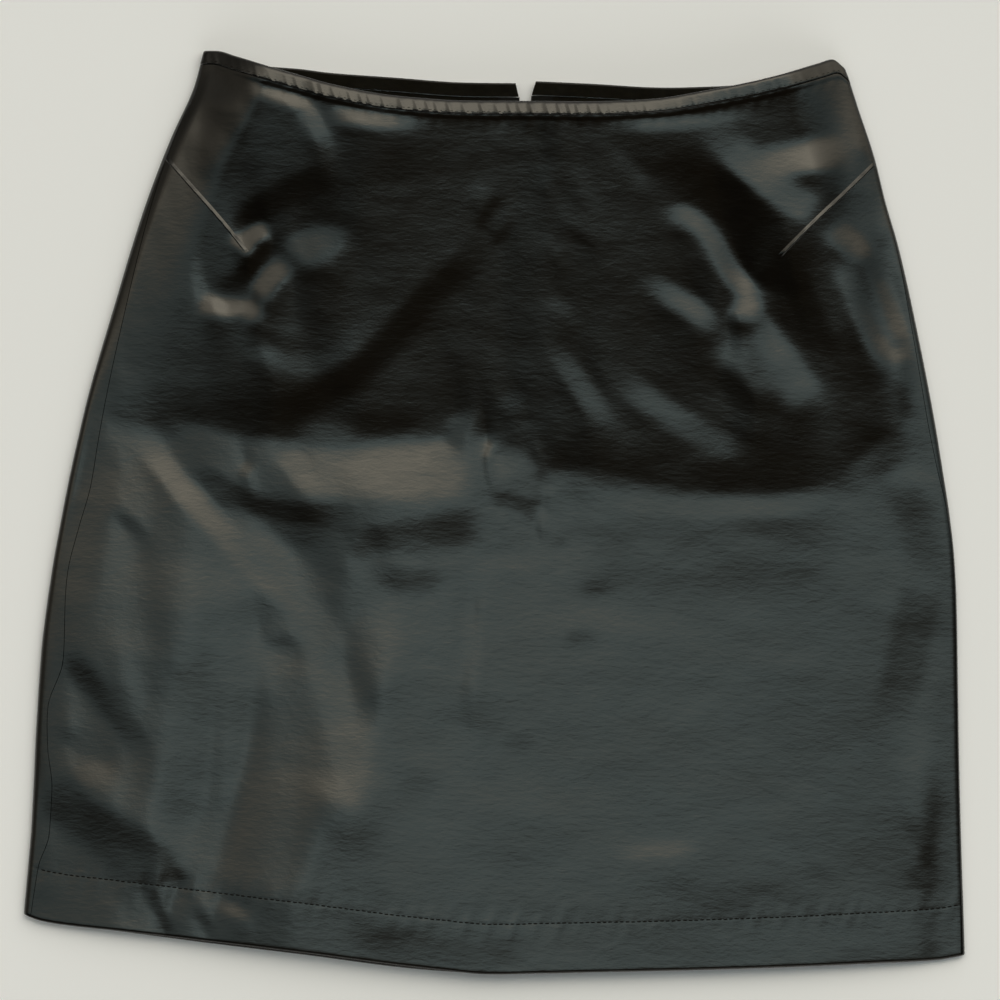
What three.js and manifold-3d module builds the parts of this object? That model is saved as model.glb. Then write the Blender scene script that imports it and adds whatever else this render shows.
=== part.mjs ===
// Leather mini skirt, laid flat on a table with its front up. Millimetres, +Z up.
// +Y points to the waist and +X to the right of somebody who looks down on it.
// The origin is on the table, under the middle of the outline.
//
// The skirt is one flattened tube. Each level of it is a ring: a back that lies on the table,
// two rolled sides, and a front that stands off the back in a shallow crown. Every cloth piece
// is a wall on that tube, made from the ring's points moved in along the normal by its depth.
import * as THREE from "three";
import { mergeVertices } from "three/addons/utils/BufferGeometryUtils.js";
import Module from "manifold-3d";

// ---------------------------------------------------------------- driving sizes
const LENGTH = 458; // waist edge to hem, down the middle of the front
const CLOTH = 1.0; // coated cloth
const GAP = 0.3; // between neighbouring pieces
const SIDE_RADIUS = 2.7; // outside of the rolled side edges
const BAND_DEPTH = 7.0; // narrow waistband
const BAND_PROUD = 0.6; // how far the waistband stands above the front
const HEM_DEPTH = 25.4; // turned-up hem
const CROWN_POWER = 3.2; // 2 is a parabola, higher is flatter in the middle
const BACK_X = 1.0; // centre-back seam
const EDGE_FADE = 14; // folds die away this far from the side edges
const FOOT_SLOPE = 0.068; // rise of the front's upper part towards the waist
const FOOT_SIDE = 34; // this rise dies away so far from the side edges

const ZIP_LENGTH = 180; // below the waistband
const TAPE_WIDTH = 11;
const CHAIN_HALF = 1.9; // half width of the closed chain
const CHAIN_HEIGHT = 1.5;
const SLIDER_Y = 201.5; // the pull's pin, just below the foot of the opening
const SLIDER_HALF = 2.4;
const SLIDER_LONG = 8.4;
const PULL_LONG = 18;
const PULL_WIDE = 4.4;
const PULL_THICK = 1.0;
const PIN_Z = 1.55; // height of the pull's pin
const ZIP_LIFT = 2.45; // the back rises this far over the slider and its pull

// ---------------------------------------------------------------- tables
// One row for each level down the sides, t from 0 at the waist edge to 1 at the hem.
// left and right are the outline, seam_l and seam_r how far inside it the side seams lie,
// and crown is the height of the front's middle above the table.
const LEVELS = [
  { t: 0.0, left: -168.8, right: 168.2, seam_l: 0.8, seam_r: 0.8, crown: 11.5 },
  { t: 0.016, left: -170.3, right: 171.2, seam_l: 0.8, seam_r: 0.8, crown: 12.0 },
  { t: 0.04, left: -172.9, right: 175.2, seam_l: 0.9, seam_r: 0.8, crown: 12.0 },
  { t: 0.1, left: -184.0, right: 185.4, seam_l: 1.6, seam_r: 0.9, crown: 12.0 },
  { t: 0.15, left: -192.2, right: 192.0, seam_l: 2.4, seam_r: 1.0, crown: 12.0 },
  { t: 0.2, left: -199.3, right: 199.6, seam_l: 3.6, seam_r: 1.4, crown: 12.0 },
  { t: 0.3, left: -211.4, right: 211.6, seam_l: 6.2, seam_r: 3.0, crown: 12.0 },
  { t: 0.4, left: -223.0, right: 222.2, seam_l: 9.4, seam_r: 4.0, crown: 12.0 },
  { t: 0.45, left: -227.6, right: 226.8, seam_l: 10.6, seam_r: 3.0, crown: 12.0 },
  { t: 0.5, left: -231.8, right: 231.2, seam_l: 11.8, seam_r: 1.2, crown: 12.0 },
  { t: 0.55, left: -235.4, right: 234.6, seam_l: 9.8, seam_r: 0.8, crown: 12.3 },
  { t: 0.6, left: -238.7, right: 236.6, seam_l: 8.2, seam_r: 0.8, crown: 12.6 },
  { t: 0.7, left: -243.1, right: 239.0, seam_l: 11.8, seam_r: 0.8, crown: 13.0 },
  { t: 0.76, left: -244.0, right: 240.4, seam_l: 5.4, seam_r: 0.8, crown: 13.2 },
  { t: 0.8, left: -244.4, right: 241.4, seam_l: 6.4, seam_r: 0.8, crown: 13.4 },
  { t: 0.85, left: -244.6, right: 242.8, seam_l: 9.8, seam_r: 0.9, crown: 13.6 },
  { t: 0.9, left: -245.0, right: 244.3, seam_l: 9.6, seam_r: 1.0, crown: 13.8 },
  { t: 0.94, left: -245.9, right: 245.6, seam_l: 5.4, seam_r: 1.4, crown: 13.9 },
  { t: 1.0, left: -247.4, right: 247.4, seam_l: 3.6, seam_r: 2.0, crown: 14.2 },
];

// Waist and hem edges across the skirt, u from 0 at the left outline to 1 at the right.
const WAIST = [
  { u: 0.0, front: 236.2, back: 236.2 },
  { u: 0.02, front: 236.4, back: 235.4 },
  { u: 0.05, front: 233.9, back: 232.6 },
  { u: 0.1, front: 229.3, back: 229.3 },
  { u: 0.15, front: 225.1, back: 228.5 },
  { u: 0.2, front: 221.0, back: 227.0 },
  { u: 0.3, front: 216.0, back: 225.7 },
  { u: 0.4, front: 214.6, back: 224.4 },
  { u: 0.49, front: 215.4, back: 225.0 },
  { u: 0.52, front: 215.7, back: 226.3 },
  { u: 0.6, front: 216.4, back: 226.1 },
  { u: 0.7, front: 218.9, back: 225.3 },
  { u: 0.8, front: 225.5, back: 227.0 },
  { u: 0.85, front: 229.4, back: 228.9 },
  { u: 0.9, front: 234.1, back: 232.0 },
  { u: 0.96, front: 241.0, back: 238.6 },
  { u: 0.98, front: 243.2, back: 241.6 },
  { u: 1.0, front: 238.6, back: 238.6 },
];
const HEM = [
  { u: 0.0, front: -220.6, back: -220.6 },
  { u: 0.02, front: -223.6, back: -223.4 },
  { u: 0.05, front: -225.4, back: -224.9 },
  { u: 0.1, front: -227.2, back: -227.4 },
  { u: 0.2, front: -231.2, back: -232.2 },
  { u: 0.3, front: -235.4, back: -236.5 },
  { u: 0.4, front: -240.1, back: -241.2 },
  { u: 0.45, front: -242.0, back: -242.6 },
  { u: 0.49, front: -243.2, back: -243.0 },
  { u: 0.55, front: -241.8, back: -241.4 },
  { u: 0.6, front: -240.4, back: -239.8 },
  { u: 0.7, front: -237.6, back: -237.0 },
  { u: 0.8, front: -234.4, back: -233.8 },
  { u: 0.9, front: -230.6, back: -230.0 },
  { u: 0.97, front: -227.6, back: -227.0 },
  { u: 1.0, front: -224.6, back: -224.6 },
];

// Half of the opening at the centre back, by distance below the waist edge. It gapes at the
// top, and lower down it is as wide as the slider, and then closed.
const OPENING = [
  { down: 0, left: 5.4, right: 5.2 },
  { down: 9, left: 3.2, right: 3.0 },
  { down: 13, left: 2.8, right: 2.8 },
  { down: 31, left: 2.8, right: 2.8 },
  { down: 37, left: 0.15, right: 0.15 },
  { down: 600, left: 0.15, right: 0.15 },
];

// The front's upper part rises towards the waist from a foot that runs across the skirt.
const FOOT = [
  { x: -250, y: 16.0 },
  { x: -200, y: 39.0 },
  { x: -130, y: 42.0 },
  { x: -60, y: 41.0 },
  { x: -12, y: 38.0 },
  { x: 26, y: 22.0 },
  { x: 70, y: 16.0 },
  { x: 120, y: 14.5 },
  { x: 170, y: 18.5 },
  { x: 205, y: 31.0 },
  { x: 250, y: 60.0 },
];

// The largest folds of the front, each a soft ridge (or trough, if negative) along a line.
const FOLDS = [
  { name: "hollow_left", x0: -176, y0: 120, x1: -156, y1: 20, width: 30, height: -1.8 },
  { name: "puff_left_waist", x0: -184, y0: 226, x1: -180, y1: 196, width: 20, height: 1.8 },
  { name: "fold_middle", x0: -52, y0: 22, x1: -44, y1: -120, width: 26, height: 0.8 },
  { name: "fold_low_left", x0: -96, y0: -176, x1: -96, y1: -226, width: 24, height: 1.2 },
  { name: "fold_right", x0: 140, y0: 150, x1: 138, y1: 10, width: 26, height: 1.3 },
  { name: "hollow_right_waist", x0: 108, y0: 226, x1: 148, y1: 226, width: 24, height: -1.9 },
  { name: "side_right", x0: 186, y0: 90, x1: 184, y1: -60, width: 18, height: 0.6 },
];

// ---------------------------------------------------------------- helpers
const clamp = (v, a, b) => Math.min(b, Math.max(a, v));
const smooth = (v) => v * v * (3 - 2 * v);
const lerp = (a, b, f) => a + (b - a) * f;
const down = (mm) => mm / LENGTH; // millimetres down the cloth as a share of its length

// A column of a table at v, through its rows by a smooth curve that doesn't overshoot.
function at(table, key, column, v) {
  const n = table.length;
  let i = 0;
  while (i < n - 2 && v > table[i + 1][key]) i++;
  const rise = (k) => (table[k + 1][column] - table[k][column]) / (table[k + 1][key] - table[k][key]);
  const slope = (k) => {
    if (k === 0) return rise(0);
    if (k === n - 1) return rise(n - 2);
    const a = rise(k - 1);
    const b = rise(k);
    return a * b <= 0 ? 0 : (2 * a * b) / (a + b);
  };
  const h = table[i + 1][key] - table[i][key];
  const f = clamp((v - table[i][key]) / h, 0, 1);
  const f2 = f * f;
  const f3 = f2 * f;
  return (
    (2 * f3 - 3 * f2 + 1) * table[i][column] +
    (f3 - 2 * f2 + f) * h * slope(i) +
    (3 * f2 - 2 * f3) * table[i + 1][column] +
    (f3 - f2) * h * slope(i + 1)
  );
}

// Height that the folds add at a point of the front.
function foldsAt(x, y) {
  let sum = 0;
  for (const f of FOLDS) {
    const dx = f.x1 - f.x0;
    const dy = f.y1 - f.y0;
    const share = clamp(((x - f.x0) * dx + (y - f.y0) * dy) / (dx * dx + dy * dy), 0, 1);
    const away = Math.hypot(x - f.x0 - share * dx, y - f.y0 - share * dy);
    sum += f.height * Math.exp(-((away / f.width) ** 2));
  }
  return sum;
}

// Height that the rise towards the waist adds there.
function slopeAt(x, y, inside) {
  const above = y - at(FOOT, "x", "y", x);
  return ((FOOT_SLOPE * (above + Math.hypot(above, 5))) / 2) * smooth(clamp(inside / FOOT_SIDE, 0, 1));
}

// How far the zip's slider and pull lift the back off the table.
function liftAt(x, y) {
  const across = 1 - smooth(clamp((Math.abs(x - BACK_X) - 7) / 30, 0, 1));
  const along = 1 - smooth(clamp((181 - y) / 44, 0, 1));
  return ZIP_LIFT * across * along;
}

// ---------------------------------------------------------------- the tube
// q is the way round a ring in mm, from the left outline over the front to the right outline
// and along the back to the left again.
function ring(t) {
  const left = at(LEVELS, "t", "left", t);
  const right = at(LEVELS, "t", "right", t);
  const quarter = (Math.PI * SIDE_RADIUS) / 2;
  const flat = right - left - 2 * SIDE_RADIUS;
  return { left, right, quarter, flat, half: 2 * quarter + flat };
}

// The way round the ring to a place on the front that lies this far inside the outline.
function inset(distance) {
  const r = SIDE_RADIUS;
  return distance < r ? r * Math.acos(1 - distance / r) : (Math.PI * r) / 2 + distance - r;
}

function outer(q, t) {
  const g = ring(t);
  const r = SIDE_RADIUS;
  const whole = 2 * g.half;
  let s = ((q % whole) + whole) % whole;
  const front = s <= g.half;
  if (!front) s = whole - s; // the back is read from the left too
  let x = g.left + r + (s - g.quarter);
  let z = r;
  if (s < g.quarter) {
    x = g.left + r * (1 - Math.cos(s / r));
    z = r * Math.sin(s / r);
  } else if (s > g.quarter + g.flat) {
    x = g.right - r * (1 - Math.cos((g.half - s) / r));
    z = r * Math.sin((g.half - s) / r);
  }
  z = front ? r + z : r - z;
  const top = smooth(clamp(z / (2 * r), 0, 1));
  const u = clamp((x - g.left) / (g.right - g.left), 0, 1);
  const yWaist = lerp(at(WAIST, "u", "back", u), at(WAIST, "u", "front", u), top);
  const yHem = lerp(at(HEM, "u", "back", u), at(HEM, "u", "front", u), top);
  const y = lerp(yWaist, yHem, t);
  if (front) {
    const rise = at(LEVELS, "t", "crown", clamp(t, 0, 1)) - 2 * r;
    const inside = Math.min(x - g.left, g.right - x);
    const edge = smooth(clamp(inside / EDGE_FADE, 0, 1));
    z += top * (rise * (1 - Math.abs(2 * u - 1) ** CROWN_POWER) + slopeAt(x, y, inside) + edge * foldsAt(x, y));
  } else z += (1 - top) * liftAt(x, y);
  return new THREE.Vector3(x, y, z);
}

// A point of the tube, moved in by a depth; a negative depth stands proud.
function point(q, t, depth) {
  const e = 0.4;
  const across = outer(q + e, t).sub(outer(q - e, t));
  const along = outer(q, t + down(e)).sub(outer(q, t - down(e)));
  return outer(q, t).addScaledVector(along.cross(across).normalize(), -depth);
}

// ---------------------------------------------------------------- where the pieces end
// Each function gives the columns of one piece at level t, as ways round the ring.
const seamLeft = (t) => inset(at(LEVELS, "t", "seam_l", clamp(t, 0, 1)));
const seamRight = (t) => inset(at(LEVELS, "t", "seam_r", clamp(t, 0, 1)));
const opening = (t, side) => at(OPENING, "down", side, clamp(t * LENGTH, 0, 600));

function frontColumns(count) {
  return (t) => {
    const from = seamLeft(t) + GAP / 2;
    const to = ring(t).half - seamRight(t) - GAP / 2;
    const share = (i) => 0.5 - 0.5 * Math.cos((Math.PI * i) / count);
    return Array.from({ length: count + 1 }, (_, i) => lerp(from, to, share(i)));
  };
}

// Half of the back, as distances from the outline: its wrap over the side is negative.
function halfBack(wrap, quarter, centre, count) {
  const places = [1, 0.68, 0.42, 0.25, 0.12].map((f) => -f * wrap);
  for (let i = 0; i <= 3; i++) places.push((i / 3) * quarter);
  for (let i = 1; i <= count; i++) {
    const f = i / count;
    places.push(lerp(quarter, centre, 0.5 * f + 0.5 * Math.sin((Math.PI * f) / 2)));
  }
  return places;
}
const backRightColumns = (t) => {
  const g = ring(t);
  const centre = g.quarter + (g.right - SIDE_RADIUS - BACK_X - opening(t, "right"));
  return halfBack(seamRight(t) - GAP / 2, g.quarter, centre, 8).map((d) => g.half + d);
};
const backLeftColumns = (t) => {
  const g = ring(t);
  const centre = g.quarter + (BACK_X - opening(t, "left") - g.left - SIDE_RADIUS);
  return halfBack(seamLeft(t) - GAP / 2, g.quarter, centre, 8)
    .map((d) => 2 * g.half - d)
    .reverse();
};
// A strip on the back, between two distances to the right of the centre-back seam.
const stripColumns = (near, far) => (t) => {
  const g = ring(t);
  const q = (x) => 2 * g.half - g.quarter - (BACK_X + x - g.left - SIDE_RADIUS);
  return [q(far), q((near + far) / 2), q(near)];
};

// ---------------------------------------------------------------- walls
// A wall swept over columns and stations. A station is a place along the cloth, given as
// [t, depth] on the cloth's outer face and [t, depth] on its inner face.
function wall(columns, stations, proud = () => 0) {
  const n = stations.length;
  const m = columns(0).length;
  const positions = [];
  const faces = [];
  const id = (j, k, side) => (j * n + k) * 2 + side;
  const quad = (a, b, c, d) => faces.push(a, b, c, a, c, d);
  for (let j = 0; j < m; j++)
    for (const station of stations)
      for (const [t, depth] of station) {
        const q = columns(t)[j];
        positions.push(...point(q, t, depth - proud(q, t)).toArray());
      }
  for (let j = 0; j < m - 1; j++) {
    for (let k = 0; k < n - 1; k++) {
      quad(id(j, k, 0), id(j, k + 1, 0), id(j + 1, k + 1, 0), id(j + 1, k, 0));
      quad(id(j, k, 1), id(j + 1, k, 1), id(j + 1, k + 1, 1), id(j, k + 1, 1));
    }
    quad(id(j, 0, 0), id(j + 1, 0, 0), id(j + 1, 0, 1), id(j, 0, 1));
    quad(id(j, n - 1, 0), id(j, n - 1, 1), id(j + 1, n - 1, 1), id(j + 1, n - 1, 0));
  }
  for (let k = 0; k < n - 1; k++) {
    quad(id(0, k, 0), id(0, k, 1), id(0, k + 1, 1), id(0, k + 1, 0));
    quad(id(m - 1, k, 0), id(m - 1, k + 1, 0), id(m - 1, k + 1, 1), id(m - 1, k, 1));
  }
  const geometry = new THREE.BufferGeometry();
  geometry.setAttribute("position", new THREE.Float32BufferAttribute(positions, 3));
  geometry.setIndex(faces);
  geometry.computeVertexNormals();
  return geometry;
}

// A turned edge, from its outer leaf over the fold to the end of its inner leaf, in millimetres
// from the folded edge.
const LAYERS = 2 * CLOTH + GAP;
const turned = (depth) => [
  [[depth / 2, 0], [depth / 2, CLOTH]],
  [[0.6, 0], [CLOTH + 0.2, CLOTH]],
  [[0, 0.6], [CLOTH, CLOTH + 0.08]],
  [[0, LAYERS - 0.6], [CLOTH, CLOTH + GAP - 0.08]],
  [[0.6, LAYERS], [CLOTH + 0.2, CLOTH + GAP]],
  [[depth / 2, LAYERS], [depth / 2, CLOTH + GAP]],
  [[depth, LAYERS], [depth, CLOTH + GAP]],
];

// A panel: from under the waistband to the hem, round its fold and up inside.
const panelStations = (levels) => [
  ...[down(BAND_DEPTH + GAP), ...levels, 1 - down(HEM_DEPTH)].map((t) => [[t, 0], [t, CLOTH]]),
  ...turned(HEM_DEPTH).map((s) => s.map(([mm, depth]) => [1 - down(mm), depth])),
];

// The waistband: up its inner leaf, over the top and down its outer leaf.
const bandStations = [[[BAND_DEPTH, 0], [BAND_DEPTH, CLOTH]], ...turned(BAND_DEPTH)]
  .map((s) => s.map(([mm, depth]) => [down(mm), depth]))
  .reverse();
const bandProud = (q, t) => BAND_PROUD * smooth(clamp(outer(q, t).z / SIDE_RADIUS - 1, 0, 1));

// A strip on the inside of the back between two distances below the waist edge.
const stripStations = (rows, near, far) => rows.map((mm) => [[down(mm), near], [down(mm), far]]);

// ---------------------------------------------------------------- materials
const leather = (hex) => new THREE.MeshStandardMaterial({ color: hex, roughness: 0.32, metalness: 0 });
const tape = new THREE.MeshStandardMaterial({ color: 0x0c0b0b, roughness: 0.85, metalness: 0 });
const nylon = new THREE.MeshStandardMaterial({ color: 0x111011, roughness: 0.45, metalness: 0 });
const metal = new THREE.MeshStandardMaterial({ color: 0x1c1b1e, roughness: 0.35, metalness: 0.8 });

const skirt = new THREE.Group();
function add(name, geometry, material, position = [0, 0, 0]) {
  const mesh = new THREE.Mesh(geometry, material);
  mesh.name = name;
  mesh.position.set(...position);
  skirt.add(mesh);
}

// ---------------------------------------------------------------- cloth
const PANEL_LEVELS = [0.03, 0.046, 0.07, 0.09, 0.12, 0.16, 0.2, 0.24, 0.28, 0.32, 0.36, 0.4, 0.44, 0.48, 0.53, 0.59, 0.65, 0.71, 0.77, 0.83, 0.89];
add("panel_front", wall(frontColumns(26), panelStations(PANEL_LEVELS)), leather(0x100f10));
add("panel_back_right", wall(backRightColumns, panelStations(PANEL_LEVELS)), leather(0x100f10));
add("panel_back_left", wall(backLeftColumns, panelStations(PANEL_LEVELS)), leather(0x100f10));
add("band_front", wall(frontColumns(26), bandStations, bandProud), leather(0x131213));
add("band_back_right", wall(backRightColumns, bandStations, bandProud), leather(0x131213));
add("band_back_left", wall(backLeftColumns, bandStations, bandProud), leather(0x131213));

// ---------------------------------------------------------------- zip
// Two tapes on the inside of the back, the closed chain between them, and the slider at its top.
const TAPE_ROWS = [BAND_DEPTH + GAP, 16, 25, 34, 46, 62, 85, 130, BAND_DEPTH + ZIP_LENGTH];
const tapeNear = 3.1;
const tapeDepth = [CLOTH + GAP, 2 * CLOTH + GAP];
add("zip_tape_right", wall(stripColumns(tapeNear, tapeNear + TAPE_WIDTH), stripStations(TAPE_ROWS, ...tapeDepth)), tape);
add("zip_tape_left", wall(stripColumns(-tapeNear - TAPE_WIDTH, -tapeNear), stripStations(TAPE_ROWS, ...tapeDepth)), tape);

const waistAtSeam = at(WAIST, "u", "back", 0.5);
const sliderFoot = SLIDER_Y - SLIDER_LONG / 2;
const CHAIN_ROWS = [waistAtSeam - sliderFoot + 0.6, 38, 46, 62, 85, 130, BAND_DEPTH + ZIP_LENGTH - 4];
add(
  "zip_chain",
  wall(stripColumns(-CHAIN_HALF, CHAIN_HALF), stripStations(CHAIN_ROWS, CLOTH + GAP, CLOTH + GAP + CHAIN_HEIGHT)),
  nylon,
);

// The slider's body stands in the opening, and an arch below it carries the pull's pin.
const wasm = await Module();
wasm.setup();
function solid(geometry) {
  const plain = geometry.index ? geometry.toNonIndexed() : geometry.clone();
  plain.deleteAttribute("normal");
  plain.deleteAttribute("uv");
  const merged = mergeVertices(plain, 1e-4);
  return new wasm.Manifold(
    new wasm.Mesh({
      numProp: 3,
      vertProperties: merged.attributes.position.array,
      triVerts: new Uint32Array(merged.index.array),
    }),
  );
}
function surface(body) {
  const mesh = body.getMesh();
  const geometry = new THREE.BufferGeometry();
  geometry.setAttribute("position", new THREE.BufferAttribute(new Float32Array(mesh.vertProperties), 3));
  geometry.setIndex(new THREE.BufferAttribute(new Uint32Array(mesh.triVerts), 1));
  const flat = geometry.toNonIndexed();
  flat.computeVertexNormals();
  return flat;
}
const box = (x, y, z, cx, cy, cz) => solid(new THREE.BoxGeometry(x, y, z).translate(cx, cy, cz));

const ARCH = { wide: 1.4, bottom: 0.2, thick: 0.6, tunnel: 3.2, leg: 1.0 };
const BODY_BOTTOM = PIN_Z + 0.8;
const BODY_TOP = BODY_BOTTOM + 2.5;
const outline = new THREE.Shape();
outline.moveTo(-SLIDER_HALF, -SLIDER_LONG / 2);
outline.lineTo(SLIDER_HALF, -SLIDER_LONG / 2);
outline.lineTo(SLIDER_HALF, 0.6);
outline.lineTo(1.3, SLIDER_LONG / 2);
outline.lineTo(-1.3, SLIDER_LONG / 2);
outline.lineTo(-SLIDER_HALF, 0.6);
outline.closePath();
const sliderBody = solid(
  new THREE.ExtrudeGeometry(outline, { depth: BODY_TOP - BODY_BOTTOM, bevelEnabled: false }).translate(0, 0, BODY_BOTTOM),
);
const archLong = ARCH.tunnel + 2 * ARCH.leg;
let slider = sliderBody.add(box(ARCH.wide, archLong, ARCH.thick, 0, 0, ARCH.bottom + ARCH.thick / 2));
for (const side of [-1, 1]) {
  const y = (side * (ARCH.tunnel + ARCH.leg)) / 2;
  const tall = BODY_BOTTOM + 0.2 - ARCH.bottom;
  slider = slider.add(box(ARCH.wide, ARCH.leg, tall, 0, y, ARCH.bottom + tall / 2));
}
add("zip_slider", surface(slider), metal, [BACK_X, SLIDER_Y, 0]);

// The pull hangs on its pin and lies under the back, with its free end towards the hem.
const half = PULL_WIDE / 2;
const pullShape = new THREE.Shape();
pullShape.moveTo(-half, 0.4);
pullShape.lineTo(-half, -9);
pullShape.lineTo(-half + 0.5, -PULL_LONG + 1.4);
pullShape.lineTo(-half + 1.4, -PULL_LONG);
pullShape.lineTo(half - 1.4, -PULL_LONG);
pullShape.lineTo(half - 0.5, -PULL_LONG + 1.4);
pullShape.lineTo(half, -9);
pullShape.lineTo(half, 0.4);
pullShape.closePath();
const eye = new THREE.Path();
const eyeHalf = ARCH.wide / 2 + 0.45;
const eyeEnd = ARCH.tunnel / 2 + ARCH.leg + 0.6;
eye.moveTo(-eyeHalf, -0.4);
eye.lineTo(eyeHalf, -0.4);
eye.lineTo(eyeHalf, -eyeEnd);
eye.lineTo(-eyeHalf, -eyeEnd);
eye.closePath();
pullShape.holes.push(eye);
const pull = new THREE.ExtrudeGeometry(pullShape, { depth: PULL_THICK, bevelEnabled: false }).translate(0, 0, -PULL_THICK / 2);
add("zip_pull", pull, metal, [BACK_X, SLIDER_Y, PIN_Z]);

export default skirt;
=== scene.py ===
# Leather mini skirt, laid flat on a table with its front up.
# Lengths in the tables are millimetres in the shared frame; meshes are made in metres.
import math

import bpy
import numpy as np
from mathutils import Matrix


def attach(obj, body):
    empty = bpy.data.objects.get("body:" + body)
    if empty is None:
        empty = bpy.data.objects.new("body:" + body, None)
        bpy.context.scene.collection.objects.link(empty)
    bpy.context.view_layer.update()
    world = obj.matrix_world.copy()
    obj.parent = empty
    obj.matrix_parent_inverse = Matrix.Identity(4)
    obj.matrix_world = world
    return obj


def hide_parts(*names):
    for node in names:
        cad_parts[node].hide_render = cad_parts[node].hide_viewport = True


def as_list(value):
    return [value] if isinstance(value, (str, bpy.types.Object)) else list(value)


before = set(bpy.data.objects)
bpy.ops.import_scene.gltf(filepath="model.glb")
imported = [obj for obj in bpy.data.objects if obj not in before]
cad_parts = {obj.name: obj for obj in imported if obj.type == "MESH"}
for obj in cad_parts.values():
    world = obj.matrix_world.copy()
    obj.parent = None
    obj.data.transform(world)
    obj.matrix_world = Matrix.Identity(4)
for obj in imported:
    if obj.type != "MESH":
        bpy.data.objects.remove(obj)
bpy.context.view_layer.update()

MM = 0.001

# ---------------------------------------------------------------- sizes, as in the solids
LENGTH = 458.0
CLOTH = 1.0
GAP = 0.3
R = 2.7  # outside radius of the rolled sides
BAND_DEPTH = 7.0
BAND_PROUD = 0.6
HEM_DEPTH = 25.4
CROWN_POWER = 3.2
BACK_X = 1.0
ZIP_LENGTH = 180.0
TAPE_WIDTH = 11.0
SLIDER_Y = 201.5
ZIP_LIFT = 2.45

LEVELS = np.array([
    # t, left, right, seam_l, seam_r, crown
    [0.0, -168.8, 168.2, 0.8, 0.8, 11.5],
    [0.016, -170.3, 171.2, 0.8, 0.8, 12.0],
    [0.04, -172.9, 175.2, 0.9, 0.8, 12.0],
    [0.1, -184.0, 185.4, 1.6, 0.9, 12.0],
    [0.15, -192.2, 192.0, 2.4, 1.0, 12.0],
    [0.2, -199.3, 199.6, 3.6, 1.4, 12.0],
    [0.3, -211.4, 211.6, 6.2, 3.0, 12.0],
    [0.4, -223.0, 222.2, 9.4, 4.0, 12.0],
    [0.45, -227.6, 226.8, 10.6, 3.0, 12.0],
    [0.5, -231.8, 231.2, 11.8, 1.2, 12.0],
    [0.55, -235.4, 234.6, 9.8, 0.8, 12.3],
    [0.6, -238.7, 236.6, 8.2, 0.8, 12.6],
    [0.7, -243.1, 239.0, 11.8, 0.8, 13.0],
    [0.76, -244.0, 240.4, 5.4, 0.8, 13.2],
    [0.8, -244.4, 241.4, 6.4, 0.8, 13.4],
    [0.85, -244.6, 242.8, 9.8, 0.9, 13.6],
    [0.9, -245.0, 244.3, 9.6, 1.0, 13.8],
    [0.94, -245.9, 245.6, 5.4, 1.4, 13.9],
    [1.0, -247.4, 247.4, 3.6, 2.0, 14.2],
])
WAIST = np.array([
    [0.0, 236.2, 236.2], [0.02, 236.4, 235.4], [0.05, 233.9, 232.6], [0.1, 229.3, 229.3],
    [0.15, 225.1, 228.5], [0.2, 221.0, 227.0], [0.3, 216.0, 225.7], [0.4, 214.6, 224.4],
    [0.49, 215.4, 225.0], [0.52, 215.7, 226.3], [0.6, 216.4, 226.1], [0.7, 218.9, 225.3],
    [0.8, 225.5, 227.0], [0.85, 229.4, 228.9], [0.9, 234.1, 232.0], [0.96, 241.0, 238.6],
    [0.98, 243.2, 241.6], [1.0, 238.6, 238.6],
])
HEM = np.array([
    [0.0, -220.6, -220.6], [0.02, -223.6, -223.4], [0.05, -225.4, -224.9], [0.1, -227.2, -227.4],
    [0.2, -231.2, -232.2], [0.3, -235.4, -236.5], [0.4, -240.1, -241.2], [0.45, -242.0, -242.6],
    [0.49, -243.2, -243.0], [0.55, -241.8, -241.4], [0.6, -240.4, -239.8], [0.7, -237.6, -237.0],
    [0.8, -234.4, -233.8], [0.9, -230.6, -230.0], [0.97, -227.6, -227.0], [1.0, -224.6, -224.6],
])
# The upper part rises towards the waist from a foot that runs across the skirt: x and the foot's y.
FOOT = np.array([
    [-250, 16.0], [-200, 39.0], [-130, 42.0], [-60, 41.0], [-12, 38.0], [26, 22.0], [70, 16.0], [120, 14.5], [170, 18.5],
    [205, 31.0], [250, 60.0],
])
FOOT_SLOPE = 0.068
FOOT_SIDE = 34  # the rise fades out this far from the side edges
OPENING = np.array([
    [0, 5.4, 5.2], [9, 3.2, 3.0], [13, 2.8, 2.8], [31, 2.8, 2.8], [37, 0.15, 0.15], [600, 0.15, 0.15],
])


# ---------------------------------------------------------------- helpers
def down(mm):
    return mm / LENGTH


def smooth(v):
    v = np.clip(v, 0, 1)
    return v * v * (3 - 2 * v)


def curve(table, column):
    """A smooth curve through one column of a table, which doesn't overshoot its rows."""
    x, y = table[:, 0], table[:, column]
    rise = np.diff(y) / np.diff(x)
    m = np.empty(len(x))
    m[0], m[-1] = rise[0], rise[-1]
    a, b = rise[:-1], rise[1:]
    total = np.where(a + b == 0, 1, a + b)
    m[1:-1] = np.where(a * b <= 0, 0, 2 * a * b / total)

    def value(v):
        v = np.asarray(v, float)
        i = np.clip(np.searchsorted(x, v, side="left") - 1, 0, len(x) - 2)
        h = x[i + 1] - x[i]
        f = np.clip((v - x[i]) / h, 0, 1)
        f2, f3 = f * f, f * f * f
        return ((2 * f3 - 3 * f2 + 1) * y[i] + (f3 - 2 * f2 + f) * h * m[i]
                + (3 * f2 - 2 * f3) * y[i + 1] + (f3 - f2) * h * m[i + 1])

    return value


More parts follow.
